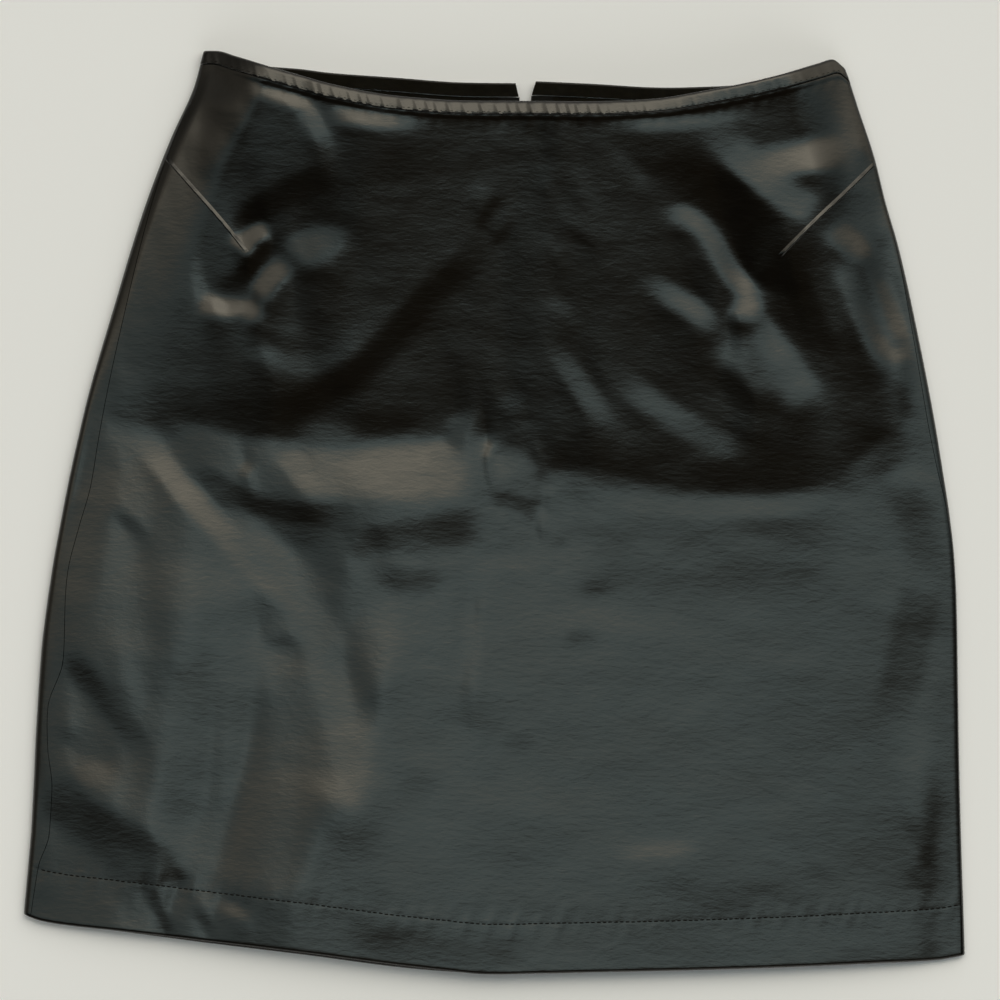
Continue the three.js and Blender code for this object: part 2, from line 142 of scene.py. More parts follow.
LEFT, RIGHT, SEAM_L, SEAM_R, CROWN = [curve(LEVELS, i) for i in range(1, 6)]
WAIST_F, WAIST_B = curve(WAIST, 1), curve(WAIST, 2)
HEM_F, HEM_B = curve(HEM, 1), curve(HEM, 2)
FOOT_Y = curve(FOOT, 1)
OPEN_L, OPEN_R = curve(OPENING, 1), curve(OPENING, 2)

# ---------------------------------------------------------------- relief of the cloth
# Heights on a fine square grid over the skirt, one for the front and one for the back.
# Each crease is a stroke: a line with a height, or a lean, and a profile on either side of it.
STEP = 1.0
ORIGIN = -262.0
COUNT = 525
VIEW_K, VIEW_TURN = 0.525, math.radians(2.0)  # the camera's millimetres a pixel, and its roll
VIEW_X, VIEW_Y = 509.05, 511.46


def place(px, py):
    """Row-frame millimetres of a place in the camera's view."""
    u, v = px - VIEW_X, VIEW_Y - py
    c, s = math.cos(VIEW_TURN), math.sin(VIEW_TURN)
    return VIEW_K * (u * c - v * s), VIEW_K * (u * s + v * c)


def spline(points, each=10):
    """Catmull-Rom points through a list, with any further columns carried along."""
    p = np.array(points, float)
    p = np.vstack([2 * p[0] - p[1], p, 2 * p[-1] - p[-2]])
    out = []
    for i in range(1, len(p) - 2):
        for f in np.arange(each) / each:
            a, b, c, d = p[i - 1], p[i], p[i + 1], p[i + 2]
            out.append(0.5 * (2 * b + (c - a) * f + (2 * a - 5 * b + 4 * c - d) * f * f
                              + (3 * b - a - 3 * c + d) * f ** 3))
    out.append(p[-2])
    return np.array(out)


PROFILES = {
    "soft": lambda x: (1 - x * x) ** 2,
    "foot": lambda x: 1 - x * x,
    "peak": lambda x: (1 - x) ** 2,
    "line": lambda x: 1 - x,
}


def near_line(rows, reach):
    """The grid near a line: its window, the distance, the side, the way along, the line's length and its values."""
    line = spline(rows, 6)
    step = np.hypot(*np.diff(line[:, :2], axis=0).T)
    along = np.concatenate([[0], np.cumsum(step)])
    lo = np.floor((line[:, :2].min(0) - reach - ORIGIN) / STEP).astype(int)
    hi = np.ceil((line[:, :2].max(0) + reach - ORIGIN) / STEP).astype(int)
    lo, hi = np.clip(lo, 0, COUNT - 1), np.clip(hi, 0, COUNT - 1)
    gx, gy = np.meshgrid(ORIGIN + STEP * np.arange(lo[0], hi[0] + 1), ORIGIN + STEP * np.arange(lo[1], hi[1] + 1))
    best = np.full(gx.shape, 1e18)
    side, place_on, value = np.zeros(gx.shape), np.zeros(gx.shape), np.zeros(gx.shape)
    for i in range(len(line) - 1):
        a, b = line[i], line[i + 1]
        d = b[:2] - a[:2]
        n2 = max(d @ d, 1e-9)
        f = np.clip(((gx - a[0]) * d[0] + (gy - a[1]) * d[1]) / n2, 0, 1)
        ex, ey = gx - a[0] - f * d[0], gy - a[1] - f * d[1]
        dist = ex * ex + ey * ey
        near = dist < best
        best = np.where(near, dist, best)
        side = np.where(near, d[0] * ey - d[1] * ex, side)
        place_on = np.where(near, along[i] + f * step[i], place_on)
        value = np.where(near, a[2] + f * (b[2] - a[2]), value)
    window = (slice(lo[1], hi[1] + 1), slice(lo[0], hi[0] + 1))
    return window, np.sqrt(best), side > 0, place_on, along[-1], value


def stroke(field, path, height, up, dn, fade=(0.3, 0.3), pixels=True):
    """Adds a crease. Going along the path, up is the profile to the left and dn to the right."""
    rows = []
    for i, p in enumerate(path):
        h = height[i] if isinstance(height, (list, tuple)) else height
        rows.append([*(place(*p) if pixels else p), h])
    window, away, on_left, place_on, whole, tall = near_line(rows, max(up[0], dn[0]))
    left = PROFILES[up[1]](np.clip(away / up[0], 0, 1))
    right = PROFILES[dn[1]](np.clip(away / dn[0], 0, 1))
    taper = smooth(place_on / max(fade[0] * whole, 1e-6)) * smooth((whole - place_on) / max(fade[1] * whole, 1e-6))
    field[window] += tall * taper * np.where(on_left, left, right)


# How light the coating shows, against how far its mirror direction points to the waist.
SHOWS = np.array([(12, -0.26), (15, -0.20), (19, -0.165), (24, -0.135), (28, -0.115), (37, -0.09), (46, -0.065), (55, -0.045), (62, -0.022),
                  (66, 0.02), (70, 0.08), (76, 0.105), (85, 0.15), (95, 0.20), (105, 0.28), (118, 0.38)])
LIGHT_TURN = math.radians(10)
SIDES = [  # share across from -1 to 1, and how much of the light there is there
    (-1.0, 0.10), (-0.75, 0.10), (-0.60, 0.16), (-0.50, 0.26), (-0.40, 0.42), (-0.25, 0.50), (-0.14, 0.54), (-0.10, 0.64),
    (-0.07, 0.90), (-0.05, 1.14), (-0.03, 1.18), (-0.008, 1.03), (0.02, 1.0), (0.32, 1.0), (0.50, 0.80), (0.75, 0.52), (1.0, 0.25),
]
FAR = 14.0  # the camera's height in metres, and the cloth's mean height below


def lean(field, lit, path, shows, up, dn, fade=(0.25, 0.25), core=0.3):
    """Turns the cloth along a path so that it shows as light as given; up and dn are widths in mm."""
    rows = []
    for i, p in enumerate(path):
        v = shows[i] if isinstance(shows, (list, tuple)) else shows
        rows.append([*place(*p), v])
    up, dn = 1.55 * up, 1.55 * dn
    window, away, on_left, place_on, whole, value = near_line(rows, max(up, dn))
    taper = smooth(place_on / max(fade[0] * whole, 1e-6)) * smooth((whole - place_on) / max(fade[1] * whole, 1e-6))
    weight = smooth((1 - away / np.where(on_left, up, dn)) / (1 - core)) * taper
    value = np.interp(value / np.maximum(lit[window], 0.3) ** 0.45, SHOWS[:, 0], SHOWS[:, 1])
    field[window] += (value - field[window]) * weight


def blurred(field, sx, sy):
    """Gaussian blur, with the two widths in millimetres."""
    kx = np.fft.rfftfreq(field.shape[1], STEP)
    ky = np.fft.fftfreq(field.shape[0], STEP)
    damp = np.exp(-2 * np.pi ** 2 * ((kx[None, :] * sx) ** 2 + (ky[:, None] * sy) ** 2))
    return np.fft.irfft2(np.fft.rfft2(field) * damp, s=field.shape)


def uneven(seed, sx, sy, height):
    """Soft random unevenness of the given widths and height, the same in each run."""
    field = blurred(np.random.default_rng(seed).standard_normal((COUNT, COUNT)), sx, sy)
    return field * (height / field.std())


def sample(field, x, y):
    fx = np.clip((x - ORIGIN) / STEP, 0, COUNT - 1.001)
    fy = np.clip((y - ORIGIN) / STEP, 0, COUNT - 1.001)
    ix, iy = fx.astype(int), fy.astype(int)
    u, v = fx - ix, fy - iy
    return ((field[iy, ix] * (1 - u) + field[iy, ix + 1] * u) * (1 - v)
            + (field[iy + 1, ix] * (1 - u) + field[iy + 1, ix + 1] * u) * v)


# Creases of the front: path in view pixels, how light it shows, width above and below the path, fades.
FRONT = [
    # wide soft shades
    ([(556, 548), (700, 556), (866, 548)], [60, 57, 57], 20, 22, (0.2, 0.2)),
    ([(104, 404), (150, 414), (190, 428)], [42, 30, 28], 12, 9, (0.2, 0.2)),
    # the left hip and the cloth round it
    ([(165, 400), (172, 310), (200, 210), (232, 100)], [34, 36, 37, 40], 42, 34, (0.1, 0.05)),
    ([(120, 300), (132, 240), (160, 160)], [34, 34, 32], 8, 10, (0.2, 0.1)),
    ([(92, 420), (104, 350), (118, 300)], [44, 42, 38], 10, 12, (0.2, 0.2)),
    ([(250, 92), (290, 128), (335, 160)], [46, 44, 32], 18, 20, (0.1, 0.3)),
    ([(280, 345), (340, 290), (410, 225)], [32, 29, 24], 34, 24, (0.25, 0.3)),
    ([(400, 190), (440, 160), (452, 132)], [27, 28, 32], 16, 16, (0.3, 0.2)),
    ([(166, 160), (182, 122), (199, 80)], [22, 22, 30], 5, 4, (0.2, 0.1)),
    ([(194, 148), (210, 136), (228, 122)], [40, 52, 46], 6, 7, (0.4, 0.4)),
    ([(198, 186), (214, 178), (228, 176)], 28, 7, 6, (0.4, 0.4)),
    ([(306, 108), (320, 130), (336, 152)], [74, 60, 44], 5, 6, (0.15, 0.4)),
    ([(204, 72), (214, 74), (230, 79)], [92, 88, 74], 2.5, 3.5, (0.2, 0.5)),
    ([(236, 82), (262, 90), (290, 98), (325, 108)], [62, 70, 92, 78], 2.5, 4, (0.3, 0.2)),
    ([(314, 106), (350, 114), (390, 119), (436, 124)], [74, 92, 98, 74], 3.5, 5.5, (0.35, 0.4)),
    ([(240, 240), (252, 218), (268, 204), (292, 191), (326, 178), (366, 168)], [26, 14, 13, 14, 15, 18], 7, 7, (0.15, 0.4)),
    ([(330, 172), (400, 164), (458, 168)], 22, 10, 10, (0.4, 0.4)),
    ([(288, 262), (308, 246), (330, 242), (356, 252)], [70, 76, 72, 58], 8, 10, (0.25, 0.35)),
    ([(254, 300), (272, 276), (292, 258)], [86, 88, 80], 6, 6, (0.2, 0.3)),
    ([(278, 284), (304, 296)], 24, 4, 4, (0.4, 0.4)),
    ([(198, 296), (220, 306), (244, 309), (266, 300)], [104, 118, 118, 100], 4, 7, (0.2, 0.25)),
    ([(196, 318), (226, 326), (256, 318)], 34, 5, 8, (0.3, 0.3)),
    ([(206, 280), (226, 284), (243, 276), (254, 260), (263, 246), (278, 230)], [24, 16, 12, 12, 14, 18], 4.5, 4.5, (0.2, 0.25)),
    ([(244, 242), (254, 234), (270, 227)], [112, 106, 100], 4, 4.5, (0.2, 0.25)),
    ([(230, 235), (244, 245), (254, 255)], [96, 116, 112], 3, 3, (0.25, 0.25)),
    # between the two dark diagonals
    ([(386, 316), (410, 290), (430, 266), (446, 244)], [34, 32, 30, 28], 5, 4, (0.3, 0.3)),
    ([(292, 380), (328, 362), (354, 344), (376, 328)], [38, 52, 58, 40], 6, 4, (0.3, 0.3)),
    ([(236, 336), (266, 354), (300, 364), (330, 352)], [40, 58, 52, 48], 5, 6, (0.3, 0.3)),
    ([(284, 312), (288, 344)], 40, 5, 6, (0.4, 0.4)),
    ([(296, 352), (312, 330), (332, 306)], 24, 5, 6, (0.4, 0.4)),
    ([(186, 380), (206, 350), (228, 330)], 24, 14, 12, (0.35, 0.35)),
    ([(150, 398), (200, 416), (262, 428), (330, 430)], 20, 12, 5, (0.3, 0.3)),
    ([(236, 418), (290, 402), (338, 380), (372, 354), (402, 322), (424, 298), (452, 272), (474, 246), (492, 224)],
     [18, 16, 14, 14, 15, 16, 16, 17, 22], 5, 9, (0.15, 0.2)),
    ([(340, 426), (390, 424), (430, 416)], 20, 10, 6, (0.3, 0.3)),
    ([(398, 356), (420, 388), (440, 414)], 30, 4, 4, (0.4, 0.4)),
    ([(446, 396), (460, 370), (466, 340)], 22, 9, 9, (0.4, 0.4)),
    ([(494, 338), (500, 310), (506, 282)], 32, 7, 7, (0.4, 0.4)),
    # below the middle of the waistband
    ([(462, 196), (480, 190), (494, 196)], [44, 52, 40], 4, 4, (0.3, 0.3)),
    ([(482, 238), (484, 218), (496, 204), (510, 200)], [16, 15, 17, 22], 2.5, 2.5, (0.3, 0.3)),
    ([(488, 226), (500, 214), (512, 206)], [24, 28, 34], 3, 3, (0.3, 0.3)),
    ([(486, 240), (498, 240), (508, 228), (512, 212)], [15, 15, 17, 20], 2, 2, (0.3, 0.3)),
    ([(472, 118), (476, 150), (480, 176)], [36, 28, 24], 4, 4, (0.2, 0.4)),
    ([(488, 118), (500, 122), (516, 120)], [60, 56, 50], 2, 3, (0.2, 0.3)),
    ([(495, 120), (496, 146)], [50, 34], 3, 3, (0.1, 0.5)),
    ([(536, 128), (543, 160), (551, 196)], [30, 32, 44], 3.5, 3.5, (0.3, 0.3)),
    ([(558, 122), (560, 170), (563, 214)], 22, 4.5, 4.5, (0.2, 0.4)),
    ([(578, 150), (586, 184), (604, 226)], [30, 40, 42], 4, 4, (0.3, 0.3)),
    ([(552, 248), (562, 254)], 54, 2.5, 2.5, (0.4, 0.4)),
    ([(546, 232), (566, 232), (586, 240), (592, 256), (582, 268)], [20, 18, 20, 28, 34], 3, 3, (0.3, 0.3)),
    ([(544, 298), (560, 306), (578, 318)], [38, 52, 40], 3.5, 3.5, (0.3, 0.3)),
    # the right, below the waistband
    ([(700, 116), (762, 132), (846, 112)], [60, 44, 36], 14, 14, (0.2, 0.1)),
    ([(600, 124), (650, 124), (700, 120), (760, 112)], [52, 72, 76, 60], 3, 4, (0.15, 0.25)),
    ([(700, 126), (726, 148), (756, 176), (788, 200), (822, 216)], [62, 66, 84, 74, 96], 10, 7, (0.2, 0.15)),
    ([(748, 170), (790, 160), (824, 154), (850, 150)], [84, 100, 116, 88], 8, 8, (0.25, 0.25)),
    ([(812, 188), (832, 190), (850, 186)], [50, 46, 56], 4, 4, (0.35, 0.35)),
    ([(866, 140), (884, 200), (902, 280), (914, 340)], [24, 24, 24, 34], 5, 7, (0.1, 0.15)),
    ([(856, 188), (880, 190)], [70, 60], 3.5, 3.5, (0.35, 0.3)),
    ([(862, 160), (874, 220), (890, 280)], [32, 27, 27], 8, 8, (0.2, 0.3)),
    ([(600, 142), (650, 158), (700, 178), (740, 206), (772, 240)], [24, 21, 18, 16, 14], 9, 11, (0.2, 0.2)),
    ([(776, 238), (794, 268), (808, 310), (820, 350), (830, 384)], [20, 14, 13, 17, 30], 8, 8, (0.15, 0.25)),
    ([(758, 272), (770, 276), (778, 266)], 12, 4, 4, (0.3, 0.3)),
    ([(808, 250), (828, 300), (848, 350)], [34, 32, 32], 5, 5, (0.3, 0.3)),
    ([(604, 146), (624, 164), (656, 192)], [34, 44, 54], 4, 4.5, (0.3, 0.3)),
    ([(646, 228), (684, 258), (716, 292)], [26, 24, 26], 6, 6, (0.3, 0.3)),
    ([(656, 210), (686, 215), (708, 232), (724, 258), (742, 284), (764, 302)], [58, 78, 82, 90, 116, 110], 5, 6, (0.2, 0.15)),
    ([(726, 302), (746, 308), (768, 306)], [90, 112, 96], 6, 7, (0.3, 0.3)),
    ([(744, 316), (772, 344), (796, 378), (816, 412)], [78, 80, 74, 66], 8, 12, (0.2, 0.25)),
    ([(634, 262), (664, 290), (696, 310), (720, 334)], [42, 66, 86, 66], 5, 6, (0.3, 0.25)),
    ([(712, 334), (748, 358), (784, 402)], [62, 70, 66], 8, 10, (0.25, 0.3)),
    ([(552, 344), (574, 374), (594, 404), (614, 434)], [50, 68, 70, 54], 5, 5.5, (0.25, 0.25)),
    ([(612, 368), (640, 390), (674, 414), (712, 436), (760, 458)], [46, 66, 64, 58, 46], 5, 8, (0.2, 0.25)),
    ([(646, 362), (700, 394), (760, 424), (804, 436)], [24, 32, 40, 36], 7, 6, (0.3, 0.3)),
    ([(828, 222), (848, 240), (868, 264)], [76, 92, 72], 6, 7, (0.25, 0.25)),
    ([(840, 250), (854, 292), (874, 336), (894, 374)], [78, 82, 90, 80], 5, 6, (0.2, 0.25)),
    ([(864, 262), (876, 304), (888, 346)], [38, 36, 44], 2.5, 2.5, (0.3, 0.3)),
    ([(878, 270), (892, 312), (904, 346)], [66, 90, 104], 4, 3.5, (0.25, 0.2)),
    ([(888, 364), (900, 354), (912, 344)], [74, 90, 70], 4, 4, (0.3, 0.3)),
    # the dark step
    ([(541, 460), (566, 453), (604, 456), (650, 468), (700, 476), (760, 476), (826, 466)],
     [26, 22, 23, 23, 23, 23, 25], 7, 6, (0.03, 0.1), 0.6),
    ([(556, 492), (620, 499), (700, 504), (780, 503), (846, 490)], [62, 66, 68, 70, 66], 3, 6, (0.15, 0.2), 0.5),
    ([(812, 464), (842, 442), (864, 412), (884, 384)], [24, 25, 28, 30], 7, 8, (0.2, 0.3)),
    ([(866, 424), (890, 404)], 36, 8, 8, (0.3, 0.3)),
    ([(842, 484), (874, 456), (900, 440)], [60, 58, 54], 4, 8, (0.3, 0.3)),
    ([(898, 376), (904, 398), (908, 424)], [22, 15, 18], 2.5, 2.5, (0.25, 0.3)),
    ([(912, 372), (918, 400), (928, 436)], [50, 56, 70], 2.5, 3.5, (0.3, 0.3)),
    # the light band across the left, and the crumples that end it
    ([(196, 452), (260, 456), (330, 456), (400, 452), (470, 444)], [56, 70, 82, 84, 88], 4, 12, (0.15, 0.1)),
    ([(280, 472), (330, 478), (400, 478), (480, 476)], [88, 94, 90, 84], 12, 12, (0.15, 0.12)),
    ([(440, 432), (462, 422), (480, 424)], [66, 74, 60], 4, 8, (0.3, 0.3)),
    ([(282, 446), (298, 470), (314, 498)], [84, 98, 104], 6, 5, (0.3, 0.3)),
    ([(238, 466), (254, 472)], 98, 3.5, 3.5, (0.4, 0.4)),
    ([(424, 446), (424, 470)], 100, 2, 2, (0.4, 0.4)),
    ([(487, 428), (488, 446), (486, 466)], [84, 104, 90], 2, 2, (0.4, 0.4)),
    ([(190, 462), (214, 482), (240, 497), (272, 509), (310, 513), (352, 508)], [54, 42, 38, 32, 30, 44], 5, 5.5, (0.12, 0.25)),
    ([(204, 478), (228, 494), (252, 506)], [42, 36, 32], 6, 7, (0.3, 0.3)),
    ([(240, 534), (290, 536), (340, 528)], 62, 4, 8, (0.3, 0.3)),
    ([(90, 470), (112, 474), (130, 468)], [50, 34, 48], 6, 6, (0.3, 0.4)),
    ([(346, 546), (390, 538), (430, 532), (490, 524)], [42, 36, 38, 38], 8, 8, (0.2, 0.2)),
    ([(346, 551), (374, 551)], 38, 4, 4, (0.4, 0.4)),
    ([(372, 570), (410, 584), (452, 574)], [42, 38, 40], 8, 6, (0.25, 0.3)),
    ([(390, 556), (410, 548), (440, 554)], 54, 5, 5, (0.4, 0.4)),
    # the warm fold down the left
    ([(130, 440), (150, 454), (174, 482), (202, 514), (234, 550), (264, 582), (296, 606), (324, 628), (336, 664)],
     [50, 66, 76, 84, 86, 84, 88, 88, 84], 7, 4.5, (0.16, 0.15), 0.35),
    ([(214, 506), (250, 536), (300, 576), (356, 610)], [74, 78, 82, 80], 8, 12, (0.3, 0.3)),
    ([(276, 606), (288, 660), (290, 720), (276, 790), (262, 850), (244, 904)], [88, 82, 84, 92, 86, 80], 22, 16, (0.1, 0.1), 0.5),
    ([(322, 650), (338, 700), (346, 760), (336, 830)], [94, 90, 92, 84], 14, 10, (0.2, 0.2)),
    ([(258, 642), (282, 638), (306, 646)], 68, 2.5, 5, (0.3, 0.3)),
    ([(240, 784), (286, 781), (330, 786), (364, 790)], [90, 98, 98, 86], 6, 7, (0.2, 0.25)),
    ([(336, 772), (352, 800), (362, 812)], 98, 2.5, 3, (0.35, 0.35)),
    ([(214, 904), (236, 911), (256, 920)], [78, 98, 86], 3, 3.5, (0.3, 0.3)),
    ([(382, 788), (420, 782), (446, 772)], 60, 8, 8, (0.4, 0.4)),
    ([(356, 700), (376, 640), (364, 590)], 73, 16, 12, (0.3, 0.3)),
    ([(468, 590), (472, 650), (470, 710)], 72, 5, 5, (0.3, 0.3)),
    ([(176, 838), (190, 760), (192, 680), (184, 600)], [44, 48, 50, 52], 14, 10, (0.15, 0.2)),
    # the left side and its corner
    ([(66, 620), (84, 520), (116, 440)], [58, 58, 50], 10, 12, (0.2, 0.2)),
    ([(106, 506), (126, 522), (152, 548)], [50, 42, 50], 4, 2.5, (0.3, 0.3)),
    ([(66, 650), (82, 676), (106, 706), (128, 732), (137, 760)], [40, 26, 25, 28, 36], 6, 4, (0.06, 0.25), 0.5),
    ([(104, 690), (122, 700), (134, 722)], 38, 6, 6, (0.3, 0.3)),
    ([(58, 730), (78, 742)], 34, 4, 4, (0.35, 0.4)),
    ([(66, 768), (96, 772), (124, 776)], [58, 62, 60], 6, 8, (0.3, 0.3)),
    ([(54, 768), (68, 798), (94, 818), (128, 836), (158, 860), (176, 892)], [40, 26, 24, 24, 20, 16], 7, 14, (0.1, 0.1), 0.45),
    ([(96, 852), (130, 868), (160, 880)], [42, 34, 26], 8, 8, (0.3, 0.2)),
    ([(112, 898), (136, 900), (150, 916)], 42, 5, 8, (0.3, 0.3)),
    ([(152, 880), (160, 904), (168, 936)], [20, 12, 16], 3, 4, (0.2, 0.1)),
    ([(170, 884), (161, 910)], 20, 3, 3, (0.3, 0.3)),
    ([(176, 914), (190, 906), (196, 920)], [58, 62, 50], 3, 3, (0.3, 0.3)),
    ([(192, 904), (204, 920), (212, 936)], [48, 36, 42], 3, 2.5, (0.3, 0.2)),
    # the middle
    ([(500, 412), (512, 404), (526, 398)], [52, 50, 44], 6, 5, (0.3, 0.3)),
    ([(486, 474), (510, 468), (534, 474)], [70, 68, 64], 6, 5, (0.1, 0.3)),
    ([(504, 430), (518, 427), (536, 426)], [40, 34, 40], 2.5, 3, (0.25, 0.3)),
    ([(489, 454), (502, 447), (516, 439), (530, 432)], [32, 26, 28, 34], 1.4, 1.3, (0.15, 0.3)),
    ([(523, 438), (534, 450), (540, 466), (541, 488)], [40, 28, 22, 32], 2.2, 2, (0.25, 0.25)),
    ([(546, 446), (560, 452), (576, 458)], [26, 18, 20], 5, 5, (0.2, 0.3)),
    ([(500, 486), (520, 486), (538, 490)], [62, 63, 62], 2.2, 2, (0.3, 0.3)),
    ([(490, 500), (508, 500), (526, 504), (548, 506)], [42, 36, 36, 40], 3.4, 4, (0.2, 0.25), 0.4),
    ([(522, 513), (534, 516), (544, 512)], [42, 40, 42], 3, 3, (0.3, 0.3)),
    ([(496, 508), (501, 515), (503, 523)], [68, 72, 68], 1.6, 1.6, (0.3, 0.3)),
    ([(546, 486), (556, 494)], 72, 2, 2, (0.35, 0.35)),
    ([(541, 500), (542, 530)], 72, 2, 2, (0.35, 0.4)),
    ([(330, 926), (430, 946), (540, 952)], [54, 52, 57], 8, 10, (0.2, 0.2)),
    # dimples on the flat lower part
    ([(574, 592), (596, 589), (618, 591)], 40, 3, 3, (0.35, 0.35)),
    ([(560, 640), (580, 637), (600, 640)], 44, 3, 3, (0.35, 0.35)),
    ([(498, 746), (516, 743), (538, 746)], 51, 3.5, 3.5, (0.35, 0.35)),
    ([(550, 544), (570, 540)], 55, 3, 3, (0.4, 0.4)),
    ([(690, 590), (730, 574), (774, 566)], [56, 50, 50], 7, 7, (0.4, 0.4)),
    ([(600, 856), (650, 850), (712, 846)], [70, 73, 72], 5, 5, (0.35, 0.35)),
    ([(800, 868), (834, 874)], 52, 3.5, 3.5, (0.4, 0.4)),
    # the right side
    ([(892, 470), (911, 500), (921, 545), (928, 596)], [34, 25, 30, 40], 8, 10, (0.25, 0.3), 0.3),
    ([(926, 580), (914, 630), (904, 680), (890, 720)], [30, 28, 28, 34], 9, 10, (0.15, 0.25), 0.45),
    ([(926, 742), (931, 800), (928, 850), (929, 884), (934, 966)], [44, 22, 12, 13, 26], 4.5, 4.5, (0.15, 0.05)),
    ([(904, 882), (918, 876), (932, 884)], [50, 26, 16], 4, 6, (0.3, 0.3)),
    ([(906, 812), (914, 828), (922, 846)], [40, 30, 20], 3, 3, (0.4, 0.2)),
]
# Creases of the back, in millimetres of the row frame.
BACK = [
    ([(-150, 60), (-60, 52), (-30, 58)], 1.0, (18, "soft"), (12, "soft")),
    ([(26, 30), (90, 40), (170, 22)], 1.1, (12, "soft"), (20, "soft")),
    ([(-190, -10), (-130, -60), (-100, -120)], 0.9, (14, "soft"), (22, "soft")),
    ([(60, -40), (120, -100), (150, -170)], 0.9, (20, "soft"), (12, "soft")),
    ([(-150, 150), (-110, 110), (-70, 100)], 0.9, (14, "soft"), (14, "soft")),
    ([(70, 96), (120, 112), (160, 150)], 0.9, (12, "soft"), (16, "soft")),
    ([(-40, -60), (-10, -120), (-16, -180)], 0.6, (9, "soft"), (12, "soft")),
    ([(-210, -120), (-180, -170), (-170, -214)], 0.7, (9, "soft"), (9, "soft")),
    ([(180, -60), (206, -130), (204, -200)], 0.7, (9, "soft"), (9, "soft")),
]


def base_lean():
    """On the grid: how far the mirror direction of the plain puffed form points to the waist, and its light."""
    coarse = 21
    at = ORIGIN + STEP * np.arange(0, COUNT + coarse, coarse / 3)
    x, y = np.meshgrid(at, at)
    t = np.clip((220 - y) / LENGTH, 0, 1)
    for _ in range(8):
        left, right = LEFT(t), RIGHT(t)
        u = np.clip((x - left) / (right - left), 0, 1)
        t = np.clip((WAIST_F(u) - y) / (WAIST_F(u) - HEM_F(u)), 0, 1)
    height = puff(x, y, t, u, np.minimum(x - left, right - x))
    zy, zx = np.gradient(height, at[1] - at[0])
    steep = 1 + zx * zx + zy * zy
    value = 2 * (math.sin(LIGHT_TURN) * zx - math.cos(LIGHT_TURN) * zy) / steep
    value += (math.cos(LIGHT_TURN) * y - math.sin(LIGHT_TURN) * x) / (FAR * 1000)
    aside = -2 * (math.cos(LIGHT_TURN) * zx + math.sin(LIGHT_TURN) * zy) / steep
    lit = np.interp(aside, *zip(*SIDES))
    inside = smooth(np.minimum(x - left, right - x) / 9)
    where = (ORIGIN + STEP * np.arange(COUNT) - at[0]) / (at[1] - at[0])
    i = np.clip(where.astype(int), 0, len(at) - 2)
    f = where - i

    def fine(v):
        rows = v[i] * (1 - f)[:, None] + v[i + 1] * f[:, None]
        return rows[:, i] * (1 - f)[None, :] + rows[:, i + 1] * f[None, :]

    return fine(value), fine(lit), fine(inside)


def settled(change):
    """Heights of a cloth whose mirror direction is changed as given."""
    kx = 2 * np.pi * np.fft.rfftfreq(change.shape[1], STEP)[None, :]
    ky = 2 * np.pi * np.fft.fftfreq(change.shape[0], STEP)[:, None]
    along = 2j * (math.sin(LIGHT_TURN) * kx - math.cos(LIGHT_TURN) * ky)
    stiff = 0.15 * kx ** 2 + 0.04 * ky ** 2 + 6e-4
    return np.fft.irfft2(np.conj(along) * np.fft.rfft2(change) / (np.abs(along) ** 2 + stiff), s=change.shape)


def front_relief():
    plain, lit, inside = base_lean()
    drawn = plain.copy()
    for crease in FRONT:
        lean(drawn, lit, *crease)
    field = settled((blurred(drawn, 0.8, 0.8) - blurred(plain, 0.8, 0.8)) * inside)
    field += uneven(11, 26, 11, 0.06)
    field += uneven(12, 9, 4.5, 0.022)
    field += uneven(13, 3.6, 2.2, 0.010)
    return field


def back_relief():
    field = np.zeros((COUNT, COUNT))
    for path, height, up, dn in BACK:
        stroke(field, path, height, up, dn, pixels=False)
    field = blurred(field, 1.6, 1.6) + np.clip(uneven(21, 20, 12, 0.16), 0, 1) + np.clip(uneven(22, 7, 4, 0.03), 0, 1)
    return field


def puff(x, y, t, u, inside):
    """How far the front stands up over its rolled sides: a pillow that rises to the waist above its foot."""
    above = y - FOOT_Y(x)
    rise = (CROWN(np.clip(t, 0, 1)) - 2 * R) * (1 - np.abs(2 * u - 1) ** CROWN_POWER)
    return rise + FOOT_SLOPE * (above + np.sqrt(above * above + 25)) / 2 * smooth(inside / FOOT_SIDE)


FRONT_FIELD = front_relief()
BACK_FIELD = back_relief()


# ---------------------------------------------------------------- the tube
QUARTER = math.pi * R / 2


def flat(t):
    return RIGHT(t) - LEFT(t) - 2 * R


def half(t):
    return 2 * QUARTER + flat(t)


def inset(distance):
    d = np.asarray(distance, float)
    return np.where(d < R, R * np.arccos(np.clip(1 - d / R, -1, 1)), QUARTER + d - R)


def lift(x, y):
    across = 1 - smooth((np.abs(x - BACK_X) - 7) / 30)
    along = 1 - smooth((181 - y) / 44)
    return ZIP_LIFT * across * along


